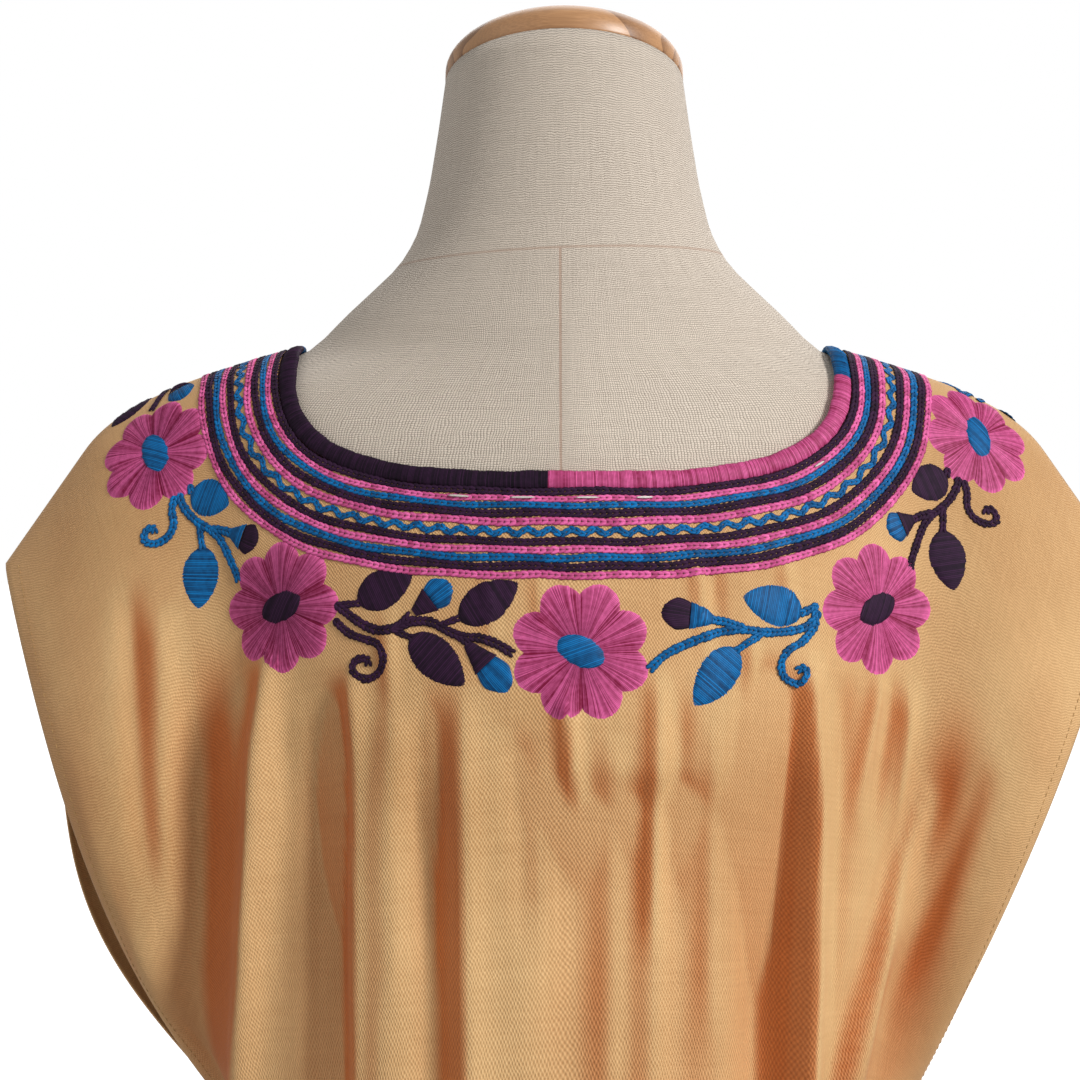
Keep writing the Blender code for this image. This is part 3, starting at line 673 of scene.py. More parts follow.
# %% Lay both halves of the cloth
WINDOW_SIDE = (-0.732, 0.535, 0.422)  # painted shade deepens on folds that turn away from this side, where the window light comes from
SHADE_SHARE = 0.90
SIDE_SHADE = 0.14
TROUGH_SHADE = 0.24
FLANK_START = 0.05
FLANK_FULL = 0.46
SIDE_START = 0.45
SIDE_FULL = 0.8
back_half, front_half = named_rows(HALF_COLUMNS, HALVES)
cloth_points = {}
plain_points = {}
for half in (back_half, front_half):
    across, down = half_places(half)
    plain = blouse_base(half, across, down)
    lift = fold_lift(half, plain, across, down)
    points = plain + lift[..., None] * surface_normals(half, blouse_base, across, down)
    on_seam = (down < 1e-6) | ((np.abs(across) > 1 - 1e-6) & (down > 1 - 1e-6))
    points[..., 1] = np.where(on_seam, half["side"] * SEAM_GAP / 2, points[..., 1])
    window = np.array((WINDOW_SIDE[0], WINDOW_SIDE[1] * half["side"], WINDOW_SIDE[2]))
    hang = surface_normals(half, blouse_base, across, down)
    normal = np.cross(np.gradient(points, axis=0), np.gradient(points, axis=1))
    normal = normal / np.linalg.norm(normal, axis=-1)[..., None]
    normal = normal * np.sign((normal * hang).sum(-1))[..., None]
    # The painted shade mask: flanks turned from the window, the whole side away from it, and the troughs.
    turned_away = np.clip(((hang - normal) @ window + FLANK_START) / FLANK_FULL, 0, 1)
    whole_side = np.clip((SIDE_START - hang @ window) / SIDE_FULL, 0, 1)
    trough = np.clip(-lift / FOLD_FULL, 0, 1)
    shadow = SHADE_SHARE * turned_away + SIDE_SHADE * whole_side + TROUGH_SHADE * trough
    shadow = np.clip(shadow, 0, 1)
    cloth_points[half["name"]] = points
    plain_points[half["name"]] = plain
    uv = np.stack([across * FLAT_WIDTH, -down * FLAT_LENGTH], -1)
    side = half["side"]
    piece = laid_grid("cloth_" + half["name"], points, uv, lambda centre: (0, side, 0), COTTON, shadow)
    wall = piece.modifiers.new("wall", "SOLIDIFY")
    wall.thickness = CLOTH
    wall.offset = -1
    wall.use_even_offset = False
    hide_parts("blouse_" + half["name"])
    area = sum(polygon.area for polygon in piece.data.polygons)
    print("cloth of the", half["name"], round(area, 3), "square metres,", len(piece.data.polygons), "faces")

# %% [markdown]
# ## The linen form
# The form is padded and covered in an open linen. Its surface is one ring of points after another, and the
# cover's seams run down the centre back and round the foot of the neck.

# %% The linen
FORM_ROUND = 140
FORM_HEIGHTS = 120
SEAM_RED = (0.42, 0.25, 0.17)
LINEN_THREADS = 1080.0  # to the metre
LINEN_DARK = (0.22, 0.165, 0.120)
LINEN_LIGHT = (0.78, 0.68, 0.57)
SEAM_X = 0.0025
SEAM_HALF = 0.0006
RING_SEAM_Z = 0.940
RING_SEAM_SLOPE = 0.038


def form_surface(z, angle):
    rows = named_rows(FORM_COLUMNS, FORM_ROWS)
    wide, back, front, power, centre, tilt = (
        smooth_table(rows, "height", z, name) for name in FORM_COLUMNS[1:]
    )
    c, s = np.cos(angle), np.sin(angle)
    x = wide * np.sign(c) * np.abs(c) ** (2 / power)
    y = np.where(s > 0, back, front) * np.sign(s) * np.abs(s) ** (2 / power)
    return np.stack([x, centre + y, z + y * np.tan(np.radians(tilt))], -1)


def make_linen():
    material, shader = new_material("form_linen")
    tree = material.node_tree
    link = tree.links.new
    weave = place_in(material, WEAVE, flat_map(material), Threads_per_metre=LINEN_THREADS, Slub=0.8)
    mixed = maths(tree, "SUBTRACT", 0.94, maths(tree, "MULTIPLY", weave.outputs["Open"], 0.75))
    mixed = maths(tree, "SUBTRACT", mixed, maths(tree, "MULTIPLY", weave.outputs["Uneven"], 0.55))
    colour = colour_ramp(tree, mixed, (0.1, LINEN_DARK), (0.75, LINEN_LIGHT))
    apart = tree.nodes.new("ShaderNodeSeparateXYZ")
    link(object_map(material), apart.inputs[0])
    behind = maths(tree, "GREATER_THAN", apart.outputs[1], 0.0)
    ring = maths(tree, "MULTIPLY_ADD", apart.outputs[0], RING_SEAM_SLOPE, apart.outputs[2])
    ring = maths(tree, "SUBTRACT", ring, RING_SEAM_Z)
    below = maths(tree, "LESS_THAN", ring, 0.0)
    line = maths(tree, "ABSOLUTE", maths(tree, "SUBTRACT", apart.outputs[0], SEAM_X))
    line = maths(tree, "LESS_THAN", line, SEAM_HALF)
    line = maths(tree, "MULTIPLY", maths(tree, "MULTIPLY", line, behind), below)
    around = maths(tree, "LESS_THAN", maths(tree, "ABSOLUTE", ring), SEAM_HALF)
    seam = maths(tree, "MAXIMUM", line, maths(tree, "MULTIPLY", around, 0.7))
    paint = mix_colours(tree, maths(tree, "MULTIPLY", seam, 0.6), colour, SEAM_RED)
    link(paint, shader.inputs["Base Color"])
    height = maths(tree, "SUBTRACT", weave.outputs["Height"], maths(tree, "MULTIPLY", seam, 2.5))
    link(bump_normal(tree, height, 0.6, 0.0005), shader.inputs["Normal"])
    shader.inputs["Roughness"].default_value = 0.9
    shader.inputs["Sheen Weight"].default_value = 0.15
    return material


LINEN = make_linen()

# %% Cover the form
heights = np.linspace(FORM_ROWS[0][0], FORM_ROWS[-1][0], FORM_HEIGHTS)
angles = np.linspace(0, math.tau, FORM_ROUND + 1)
form_points = form_surface(heights[None, :] + 0 * angles[:, None], angles[:, None] + 0 * heights[None, :])
form_uv = np.stack([angles[:, None] * 0.12 + 0 * heights, heights + 0 * angles[:, None]], -1)
form_cover = laid_grid("form_cover", form_points, form_uv, lambda centre: (centre[0], centre[1], 0), LINEN)
bm = bmesh.new()
bm.from_mesh(form_cover.data)
bmesh.ops.remove_doubles(bm, verts=bm.verts, dist=1e-6)
bmesh.ops.holes_fill(bm, edges=[edge for edge in bm.edges if edge.is_boundary])
bm.to_mesh(form_cover.data)
bm.free()
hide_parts("form_body")
print("form cover", len(form_cover.data.polygons), "faces")

# %% [markdown]
# ## The neck edge as a line
# The roll and all the embroidery follow the neck edge, so it is first read as one closed line of points.

# %% The line round the neck edge
RING_STEPS = 1200
ROLL_WIDTH = 0.0090
ROLL_THICKNESS = 0.0044
ROLL_DEPTH = 0.0013


def neck_loop():
    """The neck edge as one closed loop: along the back from the wearer's right to left, then the front."""
    parts = []
    for half in (back_half, front_half):
        edge = cloth_points[half["name"]][:, 0]
        middle = len(edge) // 2
        reach = NECK_COLUMNS - 1
        order = edge[middle - reach:middle + reach + 1]
        parts.append(order if half["side"] > 0 else order[::-1][1:-1])
    loop = np.concatenate(parts)
    closed = np.concatenate([loop, loop[:1]])
    length = np.concatenate([[0], np.cumsum(np.linalg.norm(np.diff(closed, axis=0), axis=-1))])
    even = np.linspace(0, length[-1], RING_STEPS + 1)[:-1]
    return np.stack([np.interp(even, length, closed[:, k]) for k in range(3)], -1), length[-1]


edge_loop, edge_length = neck_loop()
print("neck edge", round(edge_length, 3), "m round")

# %% [markdown]
# ## A map for the embroidery
# Embroidery follows the neck edge, so a place on it is given by two lengths: how far round the edge it
# lies, and how far out from the edge. The table below walks outwards over the cloth from each point of the
# edge, always straight ahead on the surface, as a tape measure would lie.

# %% Walk out from the neck edge
MAP_STEPS = 720
MAP_REACH = 0.126
MAP_STEP = 0.003
BLOUSE_MIDDLE = (0, 0, 0.62)


def cloth_tree(points_of):
    """Both halves of the cloth as one tree that finds the nearest point."""
    vertices, faces = [], []
    for points in points_of.values():
        columns, rows = points.shape[:2]
        first = len(vertices)
        vertices += [Vector(p) for p in points.reshape(-1, 3)]
        for i in range(columns - 1):
            for j in range(rows - 1):
                k = first + i * rows + j
                faces.append((k, k + 1, k + rows + 1, k + rows))
    return BVHTree.FromPolygons(vertices, faces)


def resample(loop, count):
    closed = np.concatenate([loop, loop[:1]])
    length = np.concatenate([[0], np.cumsum(np.linalg.norm(np.diff(closed, axis=0), axis=-1))])
    even = np.linspace(0, length[-1], count + 1)[:-1]
    return np.stack([np.interp(even, length, closed[:, k]) for k in range(3)], -1)


plain_tree = cloth_tree(plain_points)
folded_tree = cloth_tree(cloth_points)


def unit(vectors):
    return vectors / np.maximum(np.linalg.norm(vectors, axis=-1), 1e-12)[..., None]


def smooth_round(values, reach):
    """Averages a closed ring of values over a few neighbours on each side."""
    return sum(np.roll(values, k, 0) for k in range(-reach, reach + 1)) / (2 * reach + 1)


def nearest(tree, points):
    """The nearest places on the cloth, and its normals there."""
    found = [tree.find_nearest(Vector(p))[:2] for p in points.reshape(-1, 3)]
    places = np.array([hit[0] for hit in found]).reshape(points.shape)
    return places, np.array([hit[1] for hit in found]).reshape(points.shape)


def outwards(normals, points):
    """Turns normals away from the middle of the blouse."""
    away = points - np.array(BLOUSE_MIDDLE)
    return normals * np.sign((normals * away).sum(-1))[..., None]


def step_over(here, ahead, step):
    """One step on the cloth from each place, and the way ahead from there."""
    there, normal = nearest(plain_tree, here + ahead * step)
    ahead = unit(there - here)
    return there, unit(ahead - normal * (ahead * normal).sum(-1)[:, None])


def walk_out():
    here = resample(edge_loop, MAP_STEPS)
    along = unit(np.roll(here, -1, 0) - np.roll(here, 1, 0))
    here, normal = nearest(plain_tree, here)
    ahead = np.cross(smooth_round(outwards(normal, here), 8), along)
    ahead = ahead * np.sign((ahead * (here - np.array((0, 0, SHOULDER_Z)))).sum(-1))[:, None]
    ahead = unit(smooth_round(unit(ahead), 14))
    columns = [here]
    for _ in range(round(MAP_REACH / MAP_STEP)):
        here, ahead = step_over(here, ahead, MAP_STEP)
        ahead = unit(smooth_round(ahead, 3))
        columns.append(here)
    plain = np.stack(columns, 1)
    return nearest(folded_tree, plain)[0], plain


cloth_map, plain_map = walk_out()
across_ring = unit(np.roll(plain_map, -1, 0) - np.roll(plain_map, 1, 0))
map_normals = outwards(unit(np.cross(across_ring, np.gradient(plain_map, axis=1))), plain_map)
first = plain_map[:, 0]
CENTRE_BACK = edge_length / MAP_STEPS * int(np.argmin(np.where(first[:, 1] > 0, np.abs(first[:, 0]), 9)))
print("embroidery map", cloth_map.shape, "centre back at", round(CENTRE_BACK, 3))


def read_table(table, u, v):
    """Reads between the places of a table that closes in its first direction."""
    count = len(table)
    i, j = np.floor(u).astype(int), np.floor(v).astype(int)
    a, b = (u - i)[..., None], (v - j)[..., None]
    here = table[i % count, j] * (1 - b) + table[i % count, j + 1] * b
    there = table[(i + 1) % count, j] * (1 - b) + table[(i + 1) % count, j + 1] * b
    return here * (1 - a) + there * a


def on_map(table, around, out):
    """Reads the map at a distance round the neck edge from the centre back and a distance out from it."""
    u = (np.asarray(around, float) + CENTRE_BACK) / edge_length * MAP_STEPS
    v = np.clip(np.asarray(out, float) / MAP_STEP, 0, table.shape[1] - 1.001)
    return read_table(table, u, v)


# %% The ring on which the flowers lie
RING_OUT = 0.069  # metres out from the neck edge
ring_around = np.linspace(-edge_length / 2, edge_length / 2, MAP_STEPS + 1)
ring_points = on_map(plain_map, ring_around, RING_OUT + 0 * ring_around)
ring_length = np.concatenate([[0], np.cumsum(np.linalg.norm(np.diff(ring_points, axis=0), axis=-1))])
ring_length = ring_length - np.interp(0, ring_around, ring_length)
print("flower ring from", round(ring_length[0], 3), "to", round(ring_length[-1], 3))


def ring_to_around(length):
    """A length along the flower ring as a distance round the neck edge."""
    whole = ring_length[-1] - ring_length[0]
    turns = np.floor((np.asarray(length) - ring_length[0]) / whole)
    return np.interp(np.asarray(length) - turns * whole, ring_length, ring_around) + turns * edge_length


# %% [markdown]
# ## Embroidery thread
# Every stitch takes its colour from a value named `shade` on its own points: painted shade in the groove
# between two threads and a painted highlight along the top of each, with each thread a little different.
# One function makes the three colours.

# %% The three threads
def make_thread(name, dark, light, roughness):
    material, shader = new_material(name)
    tree = material.node_tree
    link = tree.links.new
    # The shade attribute holds painted shade and painted highlights as well as each thread's own tone.
    shade = tree.nodes.new("ShaderNodeAttribute")
    shade.attribute_name = "shade"
    place = object_map(material)
    wear = maths(tree, "SUBTRACT", noise(tree, place, 420.0, 3.0), 0.5)
    value = maths(tree, "ADD", shade.outputs["Fac"], maths(tree, "MULTIPLY", wear, 0.5))
    link(mix_colours(tree, value, dark, light), shader.inputs["Base Color"])
    link(bump_normal(tree, noise(tree, place, 2600.0, 2.0), 0.5, 0.0002), shader.inputs["Normal"])
    shader.inputs["Roughness"].default_value = roughness
    shader.inputs["Specular IOR Level"].default_value = 0.18
    return material


THREADS = {
    "pink": make_thread("thread_pink", (0.22, 0.006, 0.045), (1.00, 0.190, 0.500), 0.55),
    "blue": make_thread("thread_blue", (0.001, 0.010, 0.045), (0.003, 0.195, 0.530), 0.55),
    "purple": make_thread("thread_purple", (0.003, 0.0015, 0.004), (0.048, 0.013, 0.050), 0.70),
    "white": make_thread("thread_white", (0.45, 0.40, 0.36), (0.85, 0.80, 0.75), 0.60),
    "mustard": make_thread("thread_mustard", (0.36, 0.19, 0.065), (0.74, 0.46, 0.20), 0.60),
}
picks = np.random.default_rng(7)

# %% [markdown]
# ## Satin stitch
# Satin stitch fills a shape with threads laid side by side. Here each shape is a grid with two columns to a
# thread, one along its top and one in the groove beside it. The ends are a little uneven, as hand stitches
# are.

# %% Patches of satin stitch
THREAD_HEIGHT = 0.00024
STITCH_SINK = 0.0002  # how far the edge of a stitched shape dips into the cloth
SATIN_PITCH = 0.00080
BUD_PITCH = 0.00075
CENTRE_PITCH = 0.00085


class Patches:
    """Grids of stitches that become one object."""

    def __init__(self):
        self.bm = bmesh.new()
        self.shade = []

    def add(self, points, lift, shade):
        columns, rows = points.shape[:2]
        places = nearest(folded_tree, points)[0]
        normal = outwards(nearest(plain_tree, points)[1], points)
        places = places + normal * lift[..., None]
        made = bmesh.ops.create_grid(self.bm, x_segments=columns - 1, y_segments=rows - 1, size=0.5)["verts"]
        for v in made:
            i = round((v.co[0] + 0.5) * (columns - 1))
            j = round((0.5 - v.co[1]) * (rows - 1))
            v.co = places[i, j]
            self.shade.append(shade[i, j])
        self.bm.normal_update()
        faces = list({face for v in made for face in v.link_faces})
        middle = normal[columns // 2, rows // 2]
        if sum(face.normal.dot(Vector(middle)) for face in faces) < 0:
            bmesh.ops.reverse_faces(self.bm, faces=faces)

    def finish(self, name, material):
        obj = finished(name, self.bm, material)
        attribute = obj.data.attributes.new("shade", "FLOAT", "POINT")
        attribute.data.foreach_set("value", np.array(self.shade, np.float32))
        print(name, len(obj.data.polygons), "faces")


def thread_values(threads, low, high):
    """Two columns for each thread and one to end: 1 on its top and 0 in its groove, and its own shade."""
    own = picks.uniform(low, high, threads)
    top = np.arange(2 * threads + 1) % 2
    return top, np.concatenate([np.repeat(own, 2), own[-1:]])


def thread_lift(height, dome, top):
    """How high each thread of a domed shape stands off the cloth."""
    groove = THREAD_HEIGHT * (top[:, None] - 1) * (dome > 0)
    return -STITCH_SINK + (height + STITCH_SINK) * dome**0.7 + groove


def satin(patches, foot, tip, outline, width, pitch=SATIN_PITCH, slant=0.0, height=0.0009):
    """Threads laid across a line on the cloth from foot to tip, within an outline of half-widths."""
    foot, tip = np.array(foot), np.array(tip)
    length = np.linalg.norm(tip - foot)
    normal = outwards(nearest(plain_tree, ((foot + tip) / 2)[None])[1], (foot + tip)[None] / 2)[0]
    along = unit(tip - foot)
    side = unit(np.cross(normal, along))
    threads = max(6, round(length / pitch))
    top, own = thread_values(threads, 0.05, 1.0)
    t = np.linspace(0.0, 1.0, 2 * threads + 1)
    half = width / 2 * outline(t) * (1 + 0.07 * (own - 0.7)) + 0.0002
    c = np.linspace(-1, 1, 9)
    x = t[:, None] * length + slant * half[:, None] * c[None, :]
    points = foot + x[..., None] * along + (half[:, None] * c[None, :])[..., None] * side
    dome = np.sqrt(np.clip(1 - c**2, 0, 1))[None, :] * np.clip(half / (width * 0.3), 0, 1)[:, None]
    # shade: each thread's own tone, painted shade in its groove, and a painted highlight where the shape domes
    # up.
    patches.add(points, thread_lift(height, dome, top), own[:, None] * top[:, None] + 0.10 + 0.15 * dome)


def leaf_outline(t):
    return np.sin(math.pi * t**0.82) ** 0.72


def oval_outline(t):
    return np.sqrt(np.clip(1 - (2 * t - 1) ** 2, 0, 1))


def cup_outline(t):
    return 0.30 + 0.70 * t


def bud(patches, foot, tip, width, height=0.0011):
    """A bud's tip: threads that fan out from its cup to a rounded end."""
    foot, tip = np.array(foot), np.array(tip)
    length = np.linalg.norm(tip - foot)
    normal = outwards(nearest(plain_tree, foot[None])[1], foot[None])[0]
    along = unit(tip - foot)
    side = unit(np.cross(normal, along))
    threads = max(8, round(width / BUD_PITCH))
    top, own = thread_values(threads, 0.05, 1.0)
    c = np.linspace(-1, 1, 2 * threads + 1)
    t = np.linspace(0, 1, 8)
    x = t[None, :] * length * (1 - 0.45 * c[:, None] ** 2) * (1 + 0.05 * (own[:, None] - 0.7))
    y = c[:, None] * width / 2 * (0.72 + 0.28 * np.sin(t[None, :] * math.pi * 0.6))
    points = foot + x[..., None] * along + y[..., None] * side
    dome = np.sqrt(np.clip(1 - c[:, None] ** 2, 0, 1))
    dome = dome * np.sqrt(np.clip(1 - (2 * t[None, :] - 1) ** 4, 0, 1))
    # shade: each thread's own tone, painted shade in its groove, and a painted highlight where the bud domes up.
    patches.add(points, thread_lift(height, dome, top), own[:, None] * top[:, None] + 0.10 + 0.12 * dome)


# %% [markdown]
# ## Chain stitch
# A chain stitch is a row of small loops, each caught by the next. Each loop here is two strands that open
# along the row. It is modelled once, and its copies are laid along every row, along the zigzag and along
# the stems.

# %% One loop and one running stitch
STRAND_STEPS = 4
STRAND_SIDES = 5
STRAND_RADIUS = 0.235  # over the loop's width
LOOP_RISE = 0.42  # a loop's height over its width
LOOP_LAP = 1.30  # a loop's length over the distance to the next


def shape_of(bm):
    """The points and the faces of a small bmesh that will be copied many times."""
    bmesh.ops.recalc_face_normals(bm, faces=bm.faces)
    bm.verts.index_update()
    points = np.array([v.co[:] for v in bm.verts])
    faces = [[v.index for v in face.verts] for face in bm.faces]
    bm.free()
    return points, faces


def make_chain_stitch(thread):
    """One loop, 1 long and 1 wide: two strands of this radius that open along the row."""
    bm = bmesh.new()
    for side in (-1, 1):
        strand = bmesh.ops.create_grid(bm, x_segments=STRAND_STEPS, y_segments=STRAND_SIDES, size=0.5)
        for v in strand["verts"]:
            t = v.co.x + 0.5
            section = (v.co.y + 0.5) * math.tau
            full = thread * (0.40 + 0.60 * math.sin(math.pi * (0.12 + 0.80 * t)))
            middle = 0.08 + (0.42 - thread) * math.sin(math.pi / 2 * t)
            height = full * math.sin(section) + 0.12 * (1 - t)
            v.co = (t, side * (middle + full * math.cos(section)), height)
    bmesh.ops.remove_doubles(bm, verts=bm.verts, dist=1e-4)
    return shape_of(bm)


def make_running_stitch():
    """A short straight stitch, 1 long and 1 wide, that dips into the cloth at both ends."""
    bm = bmesh.new()
    turned_over = Matrix.Rotation(math.pi / 2, 4, "Y")
    bmesh.ops.create_uvsphere(bm, u_segments=6, v_segments=4, radius=0.5, matrix=turned_over)
    for v in bm.verts:
        v.co.x += 0.5
    return shape_of(bm)


CHAIN_STITCH = make_chain_stitch(STRAND_RADIUS)
RUNNING_STITCH = make_running_stitch()
chains = {"pink": [], "blue": [], "purple": []}
runs = {"white": [], "mustard": []}


# %% Lay copies along a line
def lay_along(rows, line, normals, width, pitch, lap=LOOP_LAP):
    """Lays copies of a small shape along a line of points on the cloth."""
    steps = np.linalg.norm(np.diff(line, axis=0), axis=-1)
    length = np.concatenate([[0], np.cumsum(steps)])
    count = max(1, round(length[-1] / pitch))
    places = np.linspace(0, length[-1], count + 1)
    read = [np.stack([np.interp(places, length, values[:, k]) for k in range(3)], -1)
            for values in (line, normals)]
    ahead = np.diff(read[0], axis=0)
    normal = unit(read[1][:-1])
    side = unit(np.cross(normal, ahead))
    own = picks.uniform(0.90, 1.10, (count, 1))
    rise = LOOP_RISE * width
    frames = np.stack([ahead * lap, side * width * own, normal * rise * own], 1)
    start = read[0][:-1] - ahead * (lap - 1) / 2 + normal * rise * 0.16
    rows.append((start, frames, picks.uniform(0.35, 0.85, count)))


def finish_copies(name, rows, shape, material):
    shape_points, shape_faces = shape
    start = np.concatenate([part[0] for part in rows])
    frames = np.concatenate([part[1] for part in rows])
    own = np.concatenate([part[2] for part in rows])
    points = start[:, None] + np.einsum("pk,nkc->npc", shape_points, frames)
    starts = range(0, points.shape[0] * points.shape[1], points.shape[1])
    faces = [[k + first for k in face] for first in starts for face in shape_faces]
    mesh = bpy.data.meshes.new(name)
    mesh.from_pydata(points.reshape(-1, 3).tolist(), [], faces)
    mesh.shade_smooth()
    mesh.materials.append(material)
    # shade: each loop's own tone, with painted shade low on the strands and a painted highlight along their tops.
    shade = own[:, None] * (0.15 + 0.85 * smooth_step(-0.10, 0.24, shape_points[:, 2])[None, :])
    attribute = mesh.attributes.new("shade", "FLOAT", "POINT")
    attribute.data.foreach_set("value", shade.astype(np.float32).ravel())
    obj = bpy.data.objects.new(name, mesh)
    bpy.context.scene.collection.objects.link(obj)
    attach(obj, "root")
    print(name, len(start), "stitches,", len(faces), "faces")


# %% [markdown]
# ## Rows round the neck
# Eleven rows follow the edge: ten straight rows in purple, pink and blue, and a zigzag of blue chain on
# bare cloth between the fifth and the sixth.

# %% The rows
ROW_COLUMNS = ("colour", "out", "width")
ROWS = (
    ("purple", 0.0010, 0.0042),
    ("pink", 0.0043, 0.0036),
    ("blue", 0.0074, 0.0038),
    ("purple", 0.0110, 0.0045),
    ("pink", 0.0149, 0.0044),
    ("purple", 0.0240, 0.0044),
    ("pink", 0.0277, 0.0041),
    ("blue", 0.0314, 0.0043),
    ("purple", 0.0353, 0.0045),
    ("pink", 0.0391, 0.0041),
)
ROW_PITCH = 0.0028
ROW_WANDER = 0.00035
ZIGZAG_OUT = 0.0195
ZIGZAG_REACH = 0.0018
ZIGZAG_WIDTH = 0.0036
ZIGZAG_PERIOD = 0.0102
ZIGZAG_PITCH = 0.0026
ZIGZAG_LENGTH = 1.02  # metres round the neck, along the zigzag

around = np.linspace(-edge_length / 2, edge_length / 2, 3 * MAP_STEPS + 1)


def lay_row(rows, around, out, width, pitch):
    lay_along(rows, on_map(cloth_map, around, out), on_map(map_normals, around, out), width, pitch)


for k, row in enumerate(named_rows(ROW_COLUMNS, ROWS)):
    wander = ROW_WANDER * np.sin(around / edge_length * math.tau * (17 + k) + k)
    lay_row(chains[row["colour"]], around, row["out"] + wander, row["width"], ROW_PITCH)
waves = round(ZIGZAG_LENGTH / ZIGZAG_PERIOD)
zigzag = np.arcsin(np.sin(around / edge_length * math.tau * waves)) * 2 / math.pi
lay_row(chains["blue"], around, ZIGZAG_OUT + ZIGZAG_REACH * zigzag, ZIGZAG_WIDTH, ZIGZAG_PITCH)

# %% [markdown]
# A few long tacking stitches of white thread still lie over the second row at the centre back.

# %% The tacking stitches
TACKS = ((0.047, 0.0100), (0.019, 0.0115), (-0.009, 0.0110), (-0.034, 0.0080), (-0.118, 0.0060))
TACK_OUT = 0.0042
TACK_WIDTH = 0.0011
for middle, long in TACKS:
    along = middle + np.linspace(-long / 2, long / 2, 5)
    line = on_map(cloth_map, along, TACK_OUT + 0 * along)
    normals = on_map(map_normals, along, TACK_OUT + 0 * along)
    lay_along(runs["white"], line + unit(normals) * 0.0016, normals, TACK_WIDTH, long, lap=1.0)

# %% [markdown]
# ## Flowers
# Ten flowers lie in a ring. Each has eight round petals of pink satin stitch whose threads run out from an
# oval centre, blue in one flower and purple in the next.

# %% The flowers
FLOWER_COLUMNS = ("ring", "out", "radius", "centre", "turn")
FLOWERS = (
    (-0.006, 0.0720, 0.0312, "blue", 45),
    (0.135, 0.0680, 0.0302, "purple", -20),
    (0.246, 0.0662, 0.0295, "blue", 10),
    (0.345, 0.0670, 0.0295, "purple", 40),
    (0.477, 0.0700, 0.0295, "blue", -30),
    (0.609, 0.0710, 0.0300, "purple", 15),
    (-0.497, 0.0700, 0.0295, "blue", 25),
    (-0.375, 0.0690, 0.0295, "purple", -35),
    (-0.256, 0.0670, 0.0295, "blue", 5),
    (-0.148, 0.0740, 0.0302, "purple", 20),
)
PETALS = 8
PETAL_THREADS = 38
NOTCH = 0.81
FLOWER_HEIGHT = 0.0011
CENTRE_LENGTH = 0.0198
CENTRE_WIDTH = 0.0168
PETAL_TUCK = 0.0024  # the petals begin this far under the centre
CHART_ANGLES = 72
CHART_STEP = 0.002
CHART_STEPS = 16


def chart(around, out):
    """Straight walks over the cloth in all directions from a point: angle 0 follows the ring, 90 goes out."""
    centre = on_map(plain_map, around, out)[None]
    normal = outwards(nearest(plain_tree, centre)[1], centre)
    ring = on_map(plain_map, around - 0.004, out) - on_map(plain_map, around + 0.004, out)
    ring = unit(ring - normal * (ring * normal).sum())
    outward = np.cross(normal, ring)
    away = on_map(plain_map, around, out + 0.004) - on_map(plain_map, around, out - 0.004)
    outward = outward * np.sign((outward * away).sum())
    angle = np.arange(CHART_ANGLES)[:, None] * math.tau / CHART_ANGLES
    ahead = np.cos(angle) * ring + np.sin(angle) * outward
    here = np.repeat(centre, CHART_ANGLES, 0)
    rings = [here]
    for _ in range(CHART_STEPS):
        here, ahead = step_over(here, ahead, CHART_STEP)
        ahead = unit(smooth_round(ahead, 1) * 0.3 + ahead * 0.7)
        rings.append(here)
    return np.stack(rings, 1)


def on_chart(table, angle, radius):
    u = np.asarray(angle) / math.tau * CHART_ANGLES
    v = np.clip(np.asarray(radius) / CHART_STEP, 0, CHART_STEPS - 0.001)
    return read_table(table, u, v)


def centre_reach(angle):
    """The distance from a flower's middle to the edge of its oval centre."""
    along, across = np.cos(angle) / (CENTRE_LENGTH / 2), np.sin(angle) / (CENTRE_WIDTH / 2)
    return 1 / np.sqrt(along**2 + across**2)


def add_flower(patches, table, radius, turn):
    threads = PETALS * PETAL_THREADS
    top, own = thread_values(threads, 0.10, 1.0)
    own[-1] = own[0]
    angle = np.linspace(0, math.tau, 2 * threads + 1)
    petal = np.abs(np.sin(angle * PETALS / 2))
    outer = radius * (NOTCH + (1 - NOTCH) * petal**0.80) * (1 + 0.014 * (own - 0.65))
    inner = centre_reach(angle - turn) - PETAL_TUCK
    t = np.linspace(0, 1, 10) ** 0.9
    reach = inner[:, None] + (outer - inner)[:, None] * t[None, :]
    fan = 0.10 * np.sin(angle * PETALS)[:, None] * t[None, :] * (1 - t[None, :])
    points = on_chart(table, angle[:, None] + fan, reach)
    rim = np.clip(np.minimum((1 - t) / 0.10, 1), 0, 1) ** 0.6
    full = (0.75 + 0.25 * np.sin(math.pi * t))[None, :]
    body = (0.62 + 0.38 * petal[:, None] ** 0.8) * rim[None, :] * full
    lift = -STITCH_SINK + (FLOWER_HEIGHT + STITCH_SINK) * body + THREAD_HEIGHT * (top[:, None] - 1) * rim[None, :]
    # shade: each thread's own tone with painted shade in its groove, a painted highlight along the petals' rims,
    # and darker towards the notches between the petals.
    shade = own[:, None] * (0.25 + 0.75 * top[:, None]) * 0.9 + 0.05
    shade = shade + 0.30 * smooth_step(0.86, 1.0, t)[None, :] - 0.25 * (1 - petal[:, None]) ** 2
    patches.add(points, lift, shade)


